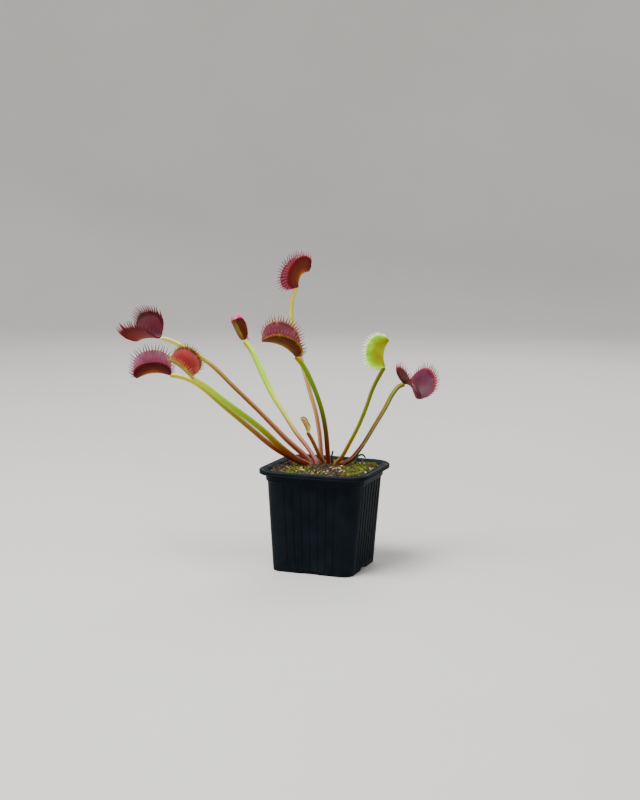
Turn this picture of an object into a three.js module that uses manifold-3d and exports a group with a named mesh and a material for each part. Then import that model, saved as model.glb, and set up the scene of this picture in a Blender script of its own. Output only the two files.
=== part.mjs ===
// Potted venus flytrap: a square nursery pot, peat, a rhizome with its roots and a rosette of trap leaves.
// Millimetres, +Z up. The origin is the centre of the pot's underside and the pot's faces look along X and Y.
import * as THREE from 'three';
import { mergeVertices } from 'three/addons/utils/BufferGeometryUtils.js';
import Module from 'manifold-3d';

const wasm = await Module();
wasm.setup();

// Driving dimensions
const GAP = 0.3; // air left between pieces that touch
const POT = {
  height: 72, rimHalf: 40, rimRadius: 18, rimDrop: 3.2, rimEdge: 0.8, rimLedge: 4.6,
  topHalf: 35.2, baseHalf: 29.5, topRadius: 16, baseRadius: 7.8,
  wall: 1.2, floor: 3.4, collarDrop: 8, collarProud: 1.1,
};
const RIB = { perFace: 7, pitch: 6.4, foot: 4, width: 1.6, crest: 0.7, proud: 0.55, sunk: 0.6 };
const NOTCH = { width: 12.5, height: 2, reach: 12, drain: 2.6 };
const SOIL = { edge: 69.4, mound: 2.1, spread: 17, lump: 0.55 };
const RHIZOME = { x: -1, y: 8.5, long: 18, deep: 8.5, top: 59, bottom: 45 };
const ROOTS = 5;
const HOLE = { reach: 20, steps: 5, sides: 8 }; // a stalk's hole, along the stalk from its seat
const FAN_TURN = THREE.MathUtils.degToRad(19.2); // the rosette fans out across the pot's corner
const STEM_SEAT = RHIZOME.top + GAP; // where every leaf stalk starts
const NECK = { length: 1.6, radius: 1.1, sunk: 1.2 };
const LOBE = { keel: 1.5, margin: 0.85, rows: 10, splits: [0.1, 0.34, 0.68, 1] };
const TOOTH = { root: 0.46, sunk: 1, inward: 0.22 };

// Leaves in the fan's own frame: X to the right, Y away, Z up. A route runs from the soil to the trap.
// width and depth are the stalk's at even stops from its foot to its tip. A trap has the direction to its far
// end, the direction in which it opens, the midrib's length, the lobes' breadth, the half angle between them
// and the midrib's bend in degrees, the lobes' overhang past the midrib and how square they are.
const LEAVES = [
  {
    name: 'leaf_1', route: [[-10, 13, 71.5], [-29, 14, 90], [-47, 15, 108], [-65, 16, 125], [-83, 17, 142],
      [-98, 17, 151], [-110, 18, 157.3], [-118, 18, 159.2]],
    width: [5.4, 4.6, 4, 4, 3.6, 3.2], depth: [4.2, 3.9, 3.2, 3.1, 3, 2.9], stalk: 0xb9a857, lobes: 0x7a1a24,
    trap: { along: [-0.77, 0.62, -0.17], open: [-0.42, -0.28, 0.86], length: 23.9, breadth: 18.5, half: 33.7,
      bend: 35, over: 1, square: 3.1, side: -1, teeth: 13, tooth: 6.8 },
  },
  {
    name: 'leaf_2', route: [[-15, 10, 71.5], [-22, 9, 75.5], [-36, 6, 84], [-53, 3, 98.5], [-71, -1, 114],
      [-90, -5, 130], [-100, -6.5, 134.6], [-109.4, -8, 136.3]],
    width: [4.6, 4.4, 4.2, 4.2, 3.6, 3], depth: [3.7, 3.6, 3.4, 3.3, 3.1, 2.8],
    stalk: 0xa8a338, lobes: 0x80232c,
    trap: { along: [-0.99, -0.06, -0.1], open: [-0.08, -0.37, 0.92], length: 22.7, breadth: 15.9, half: 30,
      bend: 62, over: 1.06, square: 2.3, side: -1, teeth: 12, tooth: 6.5 },
  },
  {
    name: 'leaf_3', route: [[-11, 5, 71.5], [-20, 2, 77], [-32, -3, 87], [-44, -8, 99], [-59, -15, 112],
      [-72, -20, 122.5], [-83, -25, 132], [-91.6, -28, 137.4]],
    width: [5, 5.2, 6, 6.4, 5.2, 3.6], depth: [3.9, 3.8, 3.9, 4.1, 3.8, 3.2], stalk: 0xa6cf3e, lobes: 0xb8402f,
    trap: { along: [-0.79, 0.06, 0.61], open: [0.43, -0.66, 0.61], length: 19.1, breadth: 14.9, half: 32.3,
      bend: 42, over: 1.05, square: 2.3, side: -1, teeth: 12, tooth: 5 },
  },
  {
    name: 'leaf_4', route: [[-5.5, 9, 71.5], [-12, 12, 82], [-21, 15, 93], [-30, 18, 107], [-39, 22, 121],
      [-46, 25, 135], [-53, 28, 149], [-59, 30, 157]],
    width: [4.4, 3.8, 4.2, 4.8, 4.6, 3.4], depth: [3.4, 2.6, 2.9, 3.8, 4, 3.3],
    stalk: 0xbdd452, lobes: 0x6d2a22,
    trap: { along: [-0.38, -0.3, 0.87], open: [-0.09, 0.87, 0.36], length: 17.6, breadth: 9.6, half: 18,
      bend: 34, over: 1, square: 1.45, side: -1, teeth: 10, tooth: 5.6 },
  },
  {
    name: 'leaf_5', route: [[-2, 13, 71.5], [-3, 14, 79], [-4, 15, 90], [-7, 16, 107], [-12, 18, 123.5],
      [-17, 20, 141], [-22, 21, 158], [-25, 23, 173], [-24.5, 24, 188], [-21.2, 25, 195.6]],
    width: [4.2, 3.8, 3.6, 3.6, 3.4, 3.2], depth: [2.8, 2.6, 2.6, 2.8, 2.8, 2.8],
    stalk: 0xcdbf68, lobes: 0x8a2a22,
    trap: { along: [0.51, 0.44, 0.74], open: [-0.71, -0.27, 0.65], length: 17.4, breadth: 13.2, half: 16.4,
      bend: 98, over: 1.04, square: 4, side: 1, teeth: 12, tooth: 6 },
  },
  {
    name: 'leaf_6', route: [[2.2, 9, 71.5], [1.3, 5, 82], [0, -0.5, 96], [-2.5, -6, 110], [-6, -11, 122],
      [-11, -17, 135], [-16, -21, 145], [-21.1, -25, 152]],
    width: [4.2, 4.1, 4, 4, 4, 3.8], depth: [2.6, 2.4, 2.4, 2.5, 2.7, 2.8], stalk: 0x7c8a26, lobes: 0x8e2a2e,
    trap: { along: [-0.89, -0.22, 0.41], open: [0.45, -0.21, 0.87], length: 27.4, breadth: 18.4, half: 45.7,
      bend: 61, over: 0.98, square: 2.3, side: -1, teeth: 14, tooth: 5.6 },
  },
  {
    name: 'leaf_7', route: [[7, 4, 71.5], [12, 1, 79], [17, -2, 89], [23, -6, 102], [28, -11, 116],
      [32, -15, 129], [36, -18, 138], [39.8, -20, 145.1]],
    width: [4, 3.6, 3.4, 3.4, 3.3, 3.2], depth: [2.6, 2.5, 2.4, 2.4, 2.5, 2.6],
    stalk: 0x9a9a30, lobes: 0xa2c23a,
    trap: { along: [0.14, 0.14, 0.98], open: [-0.99, 0.09, 0.13], length: 19.5, breadth: 13, half: 14,
      bend: 62, over: 1.05, square: 2.4, side: 1, teeth: 12, tooth: 3.8 },
  },
  {
    name: 'leaf_8', route: [[12, 5, 71.5], [18, 7, 75.5], [25.5, 11, 84], [34, 17, 97], [42, 22, 110],
      [47.5, 26, 120], [52, 28.5, 125.3], [56.7, 30, 127.1]],
    width: [4.6, 4, 3.6, 3.6, 3.5, 3.4], depth: [3.6, 3.2, 2.7, 2.7, 3, 3.3],
    stalk: 0x9a8a2a, lobes: 0x6c2036,
    trap: { along: [0.42, -0.81, -0.4], open: [0.24, -0.33, 0.91], length: 23.4, breadth: 18.2, half: 38.3,
      bend: 69, over: 1, square: 2.4, side: 1, teeth: 13, tooth: 5.2 },
  },
];
const YOUNG_LEAF = {
  route: [[-0.5, 5.2, 71.5], [-5, 1, 81], [-9, -2, 90], [-12.6, -5, 96.5], [-14.8, -6, 101.5],
    [-17.3, -6.5, 107]],
  widths: [3.2, 3.1, 3, 2.8, 2.4, 3.6, 3.4, 1.2], depths: [2.4, 2.4, 2.5, 2.5, 2.2, 4.2, 4, 1.2],
  stops: [0, 0.2, 0.45, 0.72, 0.78, 0.86, 0.95, 1], colour: 0xa25a30,
};
const OLD_LEAVES = [
  { name: 'old_leaf_1', route: [[5, 14, 60], [5, 14.2, 70], [4.6, 14.6, 76], [5.4, 15, 80]], radius: 0.9 },
  { name: 'old_leaf_2', route: [[20, 10, 62], [21, 12, 71], [22, 15, 75], [26, 16, 77.5], [29, 14, 75.5]],
    radius: 1 },
];

// Small helpers

const point = ([x, y, z]) => new THREE.Vector3(x, y, z);

function randomFrom(seed) {
  let state = seed;
  return () => {
    state = (state * 1664525 + 1013904223) % 4294967296;
    return state / 4294967296;
  };
}

// The value at u of a line through evenly spaced stops.
function along(values, u) {
  const place = THREE.MathUtils.clamp(u, 0, 1) * (values.length - 1);
  const step = Math.min(Math.floor(place), values.length - 2);
  return THREE.MathUtils.lerp(values[step], values[step + 1], place - step);
}

function geometryOf(positions, faces) {
  const geometry = new THREE.BufferGeometry();
  const values = positions.flatMap((p) => [p.x, p.y, p.z]);
  geometry.setAttribute('position', new THREE.Float32BufferAttribute(values, 3));
  geometry.setIndex(signedVolume(positions, faces) < 0 ? turned(faces) : faces.flat());
  return geometry;
}

function signedVolume(positions, faces) {
  const cross = new THREE.Vector3();
  return faces.reduce((sum, [a, b, c]) => (
    sum + positions[a].dot(cross.crossVectors(positions[b], positions[c]))
  ), 0);
}

const turned = (faces) => faces.flatMap(([a, b, c]) => [a, c, b]);

// A closed skin over rings of equally many points, with a fan over the first and the last ring.
function loft(rings) {
  const count = rings[0].length;
  const positions = rings.flat();
  const faces = [];
  for (let r = 0; r + 1 < rings.length; r++) {
    for (let i = 0; i < count; i++) {
      const a = r * count + i;
      const b = r * count + ((i + 1) % count);
      faces.push([a, b, a + count], [b, b + count, a + count]);
    }
  }
  for (const [first, flip] of [[0, true], [(rings.length - 1) * count, false]]) {
    const ring = positions.slice(first, first + count);
    const centre = ring.reduce((sum, p) => sum.add(p), new THREE.Vector3()).divideScalar(count);
    const hub = positions.push(centre) - 1;
    for (let i = 0; i < count; i++) {
      const a = first + i;
      const b = first + ((i + 1) % count);
      faces.push(flip ? [b, a, hub] : [a, b, hub]);
    }
  }
  return geometryOf(positions, faces);
}

function toSolid(geometry) {
  const bare = geometry.clone();
  bare.deleteAttribute('normal');
  bare.deleteAttribute('uv');
  const merged = mergeVertices(bare, 1e-4);
  return new wasm.Manifold(new wasm.Mesh({
    numProp: 3,
    vertProperties: new Float32Array(merged.attributes.position.array),
    triVerts: new Uint32Array(merged.index.array),
  }));
}

function toGeometry(solid) {
  const mesh = solid.getMesh();
  const geometry = new THREE.BufferGeometry();
  geometry.setAttribute('position', new THREE.BufferAttribute(new Float32Array(mesh.vertProperties), 3));
  geometry.setIndex(new THREE.BufferAttribute(new Uint32Array(mesh.triVerts), 1));
  return geometry;
}

const join = (geometries) => toGeometry(geometries.map(toSolid).reduce((whole, solid) => whole.add(solid)));
const cut = (body, tools) => (
  toGeometry(tools.map(toSolid).reduce((rest, tool) => rest.subtract(tool), toSolid(body)))
);

function piece(name, geometry, colour, roughness) {
  const material = new THREE.MeshStandardMaterial({ color: colour, roughness, metalness: 0 });
  geometry.computeVertexNormals();
  const mesh = new THREE.Mesh(geometry, material);
  mesh.name = name;
  return mesh;
}

// Pot

const bodyHalf = (z) => THREE.MathUtils.lerp(POT.baseHalf, POT.topHalf, z / (POT.height - POT.rimDrop));
const bodyRadius = (z) => THREE.MathUtils.lerp(POT.baseRadius, POT.topRadius, z / (POT.height - POT.rimDrop));

// A square ring with round corners, given by its half width and corner radius.
function squareRing(half, radius, z) {
  const perCorner = 6;
  const ring = [];
  for (let corner = 0; corner < 4; corner++) {
    const start = (corner * Math.PI) / 2;
    const signX = Math.sign(Math.cos(start + Math.PI / 4));
    const signY = Math.sign(Math.sin(start + Math.PI / 4));
    for (let i = 0; i <= perCorner; i++) {
      const angle = start + (i / perCorner) * (Math.PI / 2);
      ring.push(new THREE.Vector3(
        signX * (half - radius) + radius * Math.cos(angle),
        signY * (half - radius) + radius * Math.sin(angle),
        z,
      ));
    }
  }
  return ring;
}

const wallRing = (z, proud) => squareRing(bodyHalf(z) + proud, bodyRadius(z) + proud, z);

function potShell() {
  const underRim = POT.height - POT.rimDrop;
  const collar = POT.height - POT.collarDrop;
  const edge = POT.rimEdge;
  const inner = POT.rimHalf - POT.rimLedge;
  return loft([
    wallRing(0, -edge),
    wallRing(edge, 0),
    wallRing(collar - edge, 0),
    wallRing(collar, POT.collarProud),
    wallRing(underRim - edge / 2, POT.collarProud),
    squareRing(POT.rimHalf - edge, POT.rimRadius - edge, underRim),
    squareRing(POT.rimHalf, POT.rimRadius, underRim + edge),
    squareRing(POT.rimHalf, POT.rimRadius, POT.height - edge),
    squareRing(POT.rimHalf - edge, POT.rimRadius - edge, POT.height),
    squareRing(inner, POT.topRadius, POT.height),
    wallRing(POT.height - edge, -POT.wall),
    wallRing(POT.floor + edge, -POT.wall),
    wallRing(POT.floor, -POT.wall - edge),
  ]);
}

// One rib on the front face, drawn in as the wall tapers.
function rib(index) {
  const top = POT.height - POT.collarDrop;
  const rings = [RIB.foot, top].map((z) => {
    const x = (index - (RIB.perFace - 1) / 2) * RIB.pitch * (bodyHalf(z) / POT.topHalf);
    const face = -bodyHalf(z);
    return [
      new THREE.Vector3(x - RIB.width / 2, face + RIB.sunk, z),
      new THREE.Vector3(x - RIB.crest / 2, face - RIB.proud, z),
      new THREE.Vector3(x + RIB.crest / 2, face - RIB.proud, z),
      new THREE.Vector3(x + RIB.width / 2, face + RIB.sunk, z),
    ];
  });
  return loft(rings);
}

function potGeometry() {
  const ribs = [];
  const cuts = [];
  for (let side = 0; side < 4; side++) {
    const turn = (side * Math.PI) / 2;
    for (let i = 0; i < RIB.perFace; i++) {
      ribs.push(rib(i).rotateZ(turn));
    }
    const reach = NOTCH.reach + 4;
    const notch = new THREE.BoxGeometry(NOTCH.width, reach, NOTCH.height * 2);
    notch.translate(0, -POT.baseHalf - 4 + reach / 2, 0);
    cuts.push(notch.rotateZ(turn));
    const drain = new THREE.CylinderGeometry(NOTCH.drain, NOTCH.drain, POT.floor * 3, 12);
    drain.rotateX(Math.PI / 2).translate(0, -POT.baseHalf + NOTCH.reach - NOTCH.drain * 1.4, 0);
    cuts.push(drain.rotateZ(turn));
  }
  return cut(join([potShell(), ...ribs]), cuts);
}

// Stalks

const curveThrough = (route) => new THREE.CatmullRomCurve3(route, false, 'centripetal');
const evenly = (steps) => Array.from({ length: steps + 1 }, (_, i) => i / steps);

// Places along a stalk: close together in the soil, where its hole has the same ones, then wider apart.
function stalkPlaces(route, steps) {
  const share = HOLE.reach / curveThrough(route).getLength();
  const buried = evenly(HOLE.steps).map((u) => u * share);
  const free = evenly(steps).slice(1).map((u) => share + u * (1 - share));
  return { buried, all: [...buried, ...free] };
}

// Rings across a route at the given places along it, each from 0 to 1. The wide side lies level across
// the leaf's lean, and a function of the place gives the section's list of [across, upward] offsets.
function routeRings(route, places, section) {
  const curve = curveThrough(route);
  const lean = route[route.length - 1].clone().sub(route[0]).setZ(0).normalize();
  const across = new THREE.Vector3(-lean.y, lean.x, 0);
  return places.map((u) => {
    const centre = curve.getPointAt(u);
    const tangent = curve.getTangentAt(u);
    const side = across.clone().addScaledVector(tangent, -across.dot(tangent)).normalize();
    const up = new THREE.Vector3().crossVectors(tangent, side);
    return section(u).map(([a, b]) => (
      centre.clone().addScaledVector(side, a).addScaledVector(up, b)
    ));
  });
}

// A flytrap's stalk: a shallow channel above, a keel below and thin edges.
function stalkSection(width, depth) {
  const half = width / 2;
  const lip = depth * 0.3;
  return [
    [-half, lip], [-half * 0.5, lip * 0.45], [0, lip * 0.2], [half * 0.5, lip * 0.45], [half, lip],
    [half * 0.92, lip - 0.62], [half * 0.42, -depth * 0.5], [0, -depth * 0.7],
    [-half * 0.42, -depth * 0.5], [-half * 0.92, lip - 0.62],
  ];
}

function roundSection(radius, sides) {
  const turn = (2 * Math.PI) / sides;
  return Array.from({ length: sides }, (_, i) => [radius * Math.cos(i * turn), radius * Math.sin(i * turn)]);
}

// The route with its foot drawn straight down to the rhizome.
function rooted(route) {
  const soilPoint = point(route[0]);
  const seat = soilPoint.clone().setZ(STEM_SEAT);
  const buried = soilPoint.clone().setZ((STEM_SEAT + soilPoint.z) / 2);
  return [seat, buried, ...route.map(point)];
}

function leafRoute(leaf) {
  const full = rooted(leaf.route);
  const tip = full.length - 1;
  const last = full[tip].clone().sub(full[tip - 1]).normalize();
  full[tip].addScaledVector(last, -NECK.length - GAP);
  return { full, last };
}

function stalkGeometry(leaf) {
  const { full } = leafRoute(leaf);
  return loft(routeRings(full, stalkPlaces(full, 11).all, (u) => (
    stalkSection(along(leaf.width, u), along(leaf.depth, u))
  )));
}

function youngLeafGeometry() {
  const { route, stops, widths, depths } = YOUNG_LEAF;
  const at = (values, u) => {
    const next = Math.max(1, stops.findIndex((stop) => stop >= u - 1e-9));
    const share = (u - stops[next - 1]) / (stops[next] - stops[next - 1]);
    return THREE.MathUtils.lerp(values[next - 1], values[next], share);
  };
  const full = rooted(route);
  return loft(routeRings(full, stalkPlaces(full, 11).all, (u) => (
    stalkSection(at(widths, u), at(depths, u))
  )));
}

// Traps

const signedPower = (value, power) => Math.sign(value) * Math.abs(value) ** power;

// How far a lobe has gone sideways and outwards at a distance over its skin from the midrib.
// It leaves the keel sideways, turns up to the lobe's own angle and cups in towards the margin.
function lobeArc(trap, distance) {
  const half = THREE.MathUtils.degToRad(trap.half);
  const cup = 0.16;
  const keelRadius = 1.3;
  const steps = 16;
  let sideways = 0;
  let outwards = 0;
  for (let i = 0; i < steps; i++) {
    const d = ((i + 0.5) / steps) * distance;
    const turn = (Math.PI / 2 - half) * Math.exp(-d / keelRadius) + cup * (1 - (2 * d) / trap.breadth);
    const angle = half + turn;
    sideways += (Math.sin(angle) * distance) / steps;
    outwards += (Math.cos(angle) * distance) / steps;
  }
  return { sideways, outwards };
}

// The point of the trap's mid skin: s runs along the midrib, t from one margin (-1) to the other (1).
// The midrib is an arc. The lobes stand out from it like spokes, so a margin is longer than the midrib.
function trapPoint(trap, frame, s, t) {
  const rim = Math.abs(t);
  const firstAngle = 0.14;
  const phi = Math.PI - firstAngle - s * (Math.PI - 2 * firstAngle);
  const half = trap.length / 2;
  const rimX = half + half * trap.over * signedPower(Math.cos(phi), 2 / trap.square);
  const rimReach = trap.breadth * signedPower(Math.sin(phi), 2 / trap.square);
  const x = THREE.MathUtils.lerp(trap.length * s, rimX, rim);
  const { sideways, outwards } = lobeArc(trap, rim * rimReach);
  const bend = THREE.MathUtils.degToRad(trap.bend);
  const radius = trap.length / bend;
  const spoke = (x / trap.length - 0.5) * bend;
  return frame.start.clone()
    .addScaledVector(frame.along, (radius + outwards) * Math.sin(spoke) + radius * Math.sin(bend / 2))
    .addScaledVector(frame.open, (radius + outwards) * Math.cos(spoke) - radius * Math.cos(bend / 2))
    .addScaledVector(frame.side, Math.sign(t) * sideways);
}

function trapFrame(leaf) {
  const midrib = point(leaf.trap.along).normalize();
  const open = point(leaf.trap.open);
  open.addScaledVector(midrib, -open.dot(midrib)).normalize();
  const side = new THREE.Vector3().crossVectors(midrib, open).multiplyScalar(leaf.trap.side);
  return { start: point(leaf.route[leaf.route.length - 1]), along: midrib, open, side };
}

// Both lobes as one bent sheet, with its two faces split into the same triangles.
function lobesGeometry(trap, frame) {
  const columns = [...LOBE.splits.map((t) => -t).reverse(), 0, ...LOBE.splits];
  const rows = Array.from({ length: LOBE.rows + 1 }, (_, i) => i / LOBE.rows);
  const step = 0.02;
  const mid = rows.map((s) => columns.map((t) => trapPoint(trap, frame, s, t)));
  const front = [];
  const back = [];
  rows.forEach((s, i) => columns.forEach((t, j) => {
    const ds = trapPoint(trap, frame, Math.min(1, s + step), t)
      .sub(trapPoint(trap, frame, Math.max(0, s - step), t));
    const dt = trapPoint(trap, frame, s, Math.min(1, t + step))
      .sub(trapPoint(trap, frame, s, Math.max(-1, t - step)));
    const normal = ds.cross(dt).normalize();
    const thickness = THREE.MathUtils.lerp(LOBE.keel, LOBE.margin, Math.min(1, Math.abs(t) * 3));
    front.push(mid[i][j].clone().addScaledVector(normal, thickness / 2));
    back.push(mid[i][j].clone().addScaledVector(normal, -thickness / 2));
  }));
  const wide = columns.length;
  const layer = front.length;
  const faces = [];
  for (let i = 0; i < LOBE.rows; i++) {
    for (let j = 0; j + 1 < wide; j++) {
      const a = i * wide + j;
      const [b, c, d] = [a + 1, a + wide, a + wide + 1];
      faces.push([a, c, b], [b, c, d], [a + layer, b + layer, c + layer], [b + layer, d + layer, c + layer]);
    }
  }
  const edge = [];
  for (let j = 0; j < wide; j++) edge.push(j);
  for (let i = 1; i < LOBE.rows; i++) edge.push(i * wide + wide - 1);
  for (let j = wide - 1; j >= 0; j--) edge.push(LOBE.rows * wide + j);
  for (let i = LOBE.rows - 1; i > 0; i--) edge.push(i * wide);
  edge.forEach((a, i) => {
    const b = edge[(i + 1) % edge.length];
    faces.push([a, b, a + layer], [b, b + layer, a + layer]);
  });
  return geometryOf([...front, ...back], faces);
}

// A marginal tooth: a slim three-sided cone that leans a little in over the trap.
function tooth(trap, frame, s, side, length) {
  const tip = trapPoint(trap, frame, s, side);
  const out = tip.clone().sub(trapPoint(trap, frame, s, side * 0.85)).normalize();
  const direction = out.clone().addScaledVector(frame.side, -side * TOOTH.inward).normalize();
  const cone = new THREE.ConeGeometry(TOOTH.root, length + TOOTH.sunk, 3);
  cone.translate(0, (length + TOOTH.sunk) / 2 - TOOTH.sunk, 0);
  cone.applyQuaternion(new THREE.Quaternion().setFromUnitVectors(new THREE.Vector3(0, 1, 0), direction));
  return cone.translate(tip.x, tip.y, tip.z);
}

function neck(leaf, frame) {
  const { last } = leafRoute(leaf);
  const start = frame.start.clone().addScaledVector(last, -NECK.length);
  const end = trapPoint(leaf.trap, frame, NECK.sunk / leaf.trap.length, 0);
  const middle = frame.start.clone().addScaledVector(frame.open, 0.1);
  return loft(routeRings([start, middle, end], evenly(3), () => roundSection(NECK.radius, 6)));
}

function trapGeometry(leaf, seed) {
  const { trap } = leaf;
  const frame = trapFrame(leaf);
  const random = randomFrom(seed);
  const parts = [lobesGeometry(trap, frame), neck(leaf, frame)];
  for (const side of [-1, 1]) {
    for (let i = 0; i < trap.teeth; i++) {
      const s = 0.04 + (0.92 * (i + 0.2 * (random() - 0.5))) / (trap.teeth - 1);
      const length = trap.tooth * (0.72 + 0.28 * Math.sin(Math.PI * s)) * (0.92 + 0.16 * random());
      parts.push(tooth(trap, frame, THREE.MathUtils.clamp(s, 0.02, 0.98), side, length));
    }
  }
  return join(parts);
}

// Rhizome and roots, in the fan's frame. A clearance of zero gives the piece, more gives its pocket.

function rhizomeSolids(clearance) {
  const stations = [[RHIZOME.bottom, 0.35], [RHIZOME.bottom + 3, 0.75], [RHIZOME.bottom + 7, 0.98],
    [RHIZOME.top - 2, 1], [RHIZOME.top, 0.93]];
  const body = loft(stations.map(([z, share], index) => {
    const lift = index === 0 ? -clearance : 0;
    const raised = index === stations.length - 1 ? clearance : lift;
    return roundSection(1, 14).map(([a, b]) => new THREE.Vector3(
      RHIZOME.x + (RHIZOME.long * share + clearance) * a,
      RHIZOME.y + (RHIZOME.deep * share + clearance) * b,
      z + raised,
    ));
  }));
  const random = randomFrom(41);
  const roots = Array.from({ length: ROOTS }, (_, i) => {
    const angle = ((i + 0.3 * random()) / ROOTS) * 2 * Math.PI;
    const outward = new THREE.Vector3(Math.cos(angle), Math.sin(angle), 0);
    const start = new THREE.Vector3(RHIZOME.x, RHIZOME.y, RHIZOME.bottom + 5)
      .addScaledVector(outward, 5);
    const bend = start.clone().addScaledVector(outward, 4 + 3 * random()).setZ(RHIZOME.bottom - 8);
    const end = bend.clone().addScaledVector(outward, -3 + 4 * random()).setZ(14 + 8 * random());
    return loft(routeRings([start, bend, end], evenly(4), (u) => (
      roundSection(THREE.MathUtils.lerp(1.1, 0.6, u) + clearance, 5)
    )));
  });
  return [body, ...roots];
}

// Soil

function soilHeight(x, y) {
  const mound = SOIL.mound * Math.exp(-((x * x + y * y) / (2 * SOIL.spread * SOIL.spread)));
  const lumps = Math.sin(x * 0.41 + 1.3) * Math.cos(y * 0.37 - 0.4) + 0.5 * Math.sin(x * 0.9 - y * 0.7);
  return SOIL.edge + mound + SOIL.lump * lumps;
}

function soilBlock() {
  const inset = -POT.wall - GAP;
  const bottom = POT.floor + GAP;
  const rings = [wallRing(bottom, inset - POT.rimEdge), wallRing(bottom + POT.rimEdge, inset)];
  const top = wallRing(SOIL.edge, inset);
  rings.push(wallRing(SOIL.edge - 1.5, inset));
  for (const share of [0.985, 0.84, 0.68, 0.52, 0.36, 0.2, 0.07]) {
    rings.push(top.map((p) => {
      const spot = p.clone().multiplyScalar(share);
      return spot.setZ(soilHeight(spot.x, spot.y));
    }));
  }
  return loft(rings);
}

// A plain round hole along the foot of a stalk, from under its seat out past the soil's surface.
function footHole(route, radius) {
  const rings = routeRings(route, stalkPlaces(route, 1).buried, () => roundSection(radius, HOLE.sides));
  const sunk = rings[0].map((p) => p.clone().setZ(p.z - 2 * GAP));
  return loft([sunk, ...rings]);
}

function soilGeometry(fanMatrix) {
  const tools = [...rhizomeSolids(GAP)];
  for (const [route, width] of [...LEAVES.map((leaf) => [leaf.route, leaf.width[0]]),
    [YOUNG_LEAF.route, YOUNG_LEAF.widths[0]]]) {
    tools.push(footHole(rooted(route), width / 2 + 2 * GAP));
  }
  for (const old of OLD_LEAVES) {
    tools.push(footHole(old.route.map(point), old.radius + 2 * GAP));
  }
  tools.forEach((tool) => tool.applyMatrix4(fanMatrix));
  return cut(soilBlock(), tools);
}

// Assembly

const plant = new THREE.Group();
plant.rotation.z = FAN_TURN;
plant.updateMatrix();
plant.add(piece('rhizome', join(rhizomeSolids(0)), 0xcfc4a2, 0.7));
LEAVES.forEach((leaf, index) => {
  plant.add(piece(`${leaf.name}_stalk`, stalkGeometry(leaf), leaf.stalk, 0.45));
  plant.add(piece(`${leaf.name}_trap`, trapGeometry(leaf, 100 + index), leaf.lobes, 0.42));
});
plant.add(piece('young_leaf', youngLeafGeometry(), YOUNG_LEAF.colour, 0.5));
for (const old of OLD_LEAVES) {
  const section = (u) => roundSection(old.radius * (1 - 0.45 * u), 6);
  plant.add(piece(old.name, loft(routeRings(old.route.map(point), evenly(8), section)), 0x1d1512, 0.8));
}

const model = new THREE.Group();
model.add(piece('pot', potGeometry(), 0x14191f, 0.5));
model.add(piece('soil', soilGeometry(plant.matrix), 0x3a2c1a, 0.95));
model.add(plant);

export default model;
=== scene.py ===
# %% [markdown]
# # A venus flytrap in its nursery pot
#
# The plant is a fan of trap leaves that grows from a rhizome in wet peat. It stands in a square pot of black
# plastic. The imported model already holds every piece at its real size. Here each piece gets its finer form
# and its finish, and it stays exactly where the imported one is.

import math

import bmesh
import bpy
import numpy as np
from mathutils import Matrix, Vector, noise


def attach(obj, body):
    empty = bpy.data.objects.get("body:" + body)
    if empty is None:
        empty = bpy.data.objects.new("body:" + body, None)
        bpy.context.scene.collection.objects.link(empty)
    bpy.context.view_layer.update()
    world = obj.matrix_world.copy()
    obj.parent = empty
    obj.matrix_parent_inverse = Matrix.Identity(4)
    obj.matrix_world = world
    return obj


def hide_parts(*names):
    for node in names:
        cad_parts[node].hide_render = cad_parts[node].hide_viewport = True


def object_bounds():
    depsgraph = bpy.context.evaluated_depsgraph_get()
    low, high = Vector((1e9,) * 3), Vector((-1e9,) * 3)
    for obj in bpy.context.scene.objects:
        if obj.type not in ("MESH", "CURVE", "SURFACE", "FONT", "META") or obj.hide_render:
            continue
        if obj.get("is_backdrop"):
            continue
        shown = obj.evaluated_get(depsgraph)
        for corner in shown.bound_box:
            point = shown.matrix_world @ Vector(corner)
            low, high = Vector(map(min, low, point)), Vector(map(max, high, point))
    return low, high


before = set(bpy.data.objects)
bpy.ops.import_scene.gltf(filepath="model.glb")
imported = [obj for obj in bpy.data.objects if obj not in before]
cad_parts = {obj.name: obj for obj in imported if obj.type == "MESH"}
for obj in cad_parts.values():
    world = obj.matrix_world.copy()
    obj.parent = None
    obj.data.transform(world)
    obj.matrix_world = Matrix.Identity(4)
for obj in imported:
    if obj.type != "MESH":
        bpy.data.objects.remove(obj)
CAD_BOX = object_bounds()
print("pieces in the packed model:", len(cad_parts))

# %% [markdown]
# The leaves were measured in a frame of their own, with X to the right, Y away from the viewer and Z up, in
# millimetres. The pot stands turned in that frame, so one small function brings points into the pot's frame
# and into metres. Keeping it in one place means that no other number has to be turned by hand.

# %% From the leaf fan's frame to the pot's
MM = 0.001
FAN_TURN = math.radians(19.2)


def placed(points):
    """Points or directions in the fan's frame, turned into the pot's frame."""
    x, y, z = np.moveaxis(np.asarray(points, float), -1, 0)
    cos, sin = math.cos(FAN_TURN), math.sin(FAN_TURN)
    return np.stack([cos * x - sin * y, sin * x + cos * y, z], axis=-1)


def unit(vector):
    """The same direction with a length of one. It also takes a whole array of them."""
    vector = np.asarray(vector, float)
    return vector / np.linalg.norm(vector, axis=-1, keepdims=True)


# %% [markdown]
# The camera stands a good metre away and looks down a little, as one does at a plant on a table. Its place
# comes from the way the pot's square rim is foreshortened. A long lens keeps the pot's sides straight.

# %% Camera, with its sizes in millimetres
CAMERA_AWAY = 1110.1
CAMERA_HEIGHT = 276.4
CAMERA_LENS = 72
CAMERA_SENSOR = 36
CAMERA_PAN = math.radians(-0.2187)
CAMERA_DIP = math.radians(-8.095)
CAMERA_ROLL = math.radians(0.736)

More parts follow.
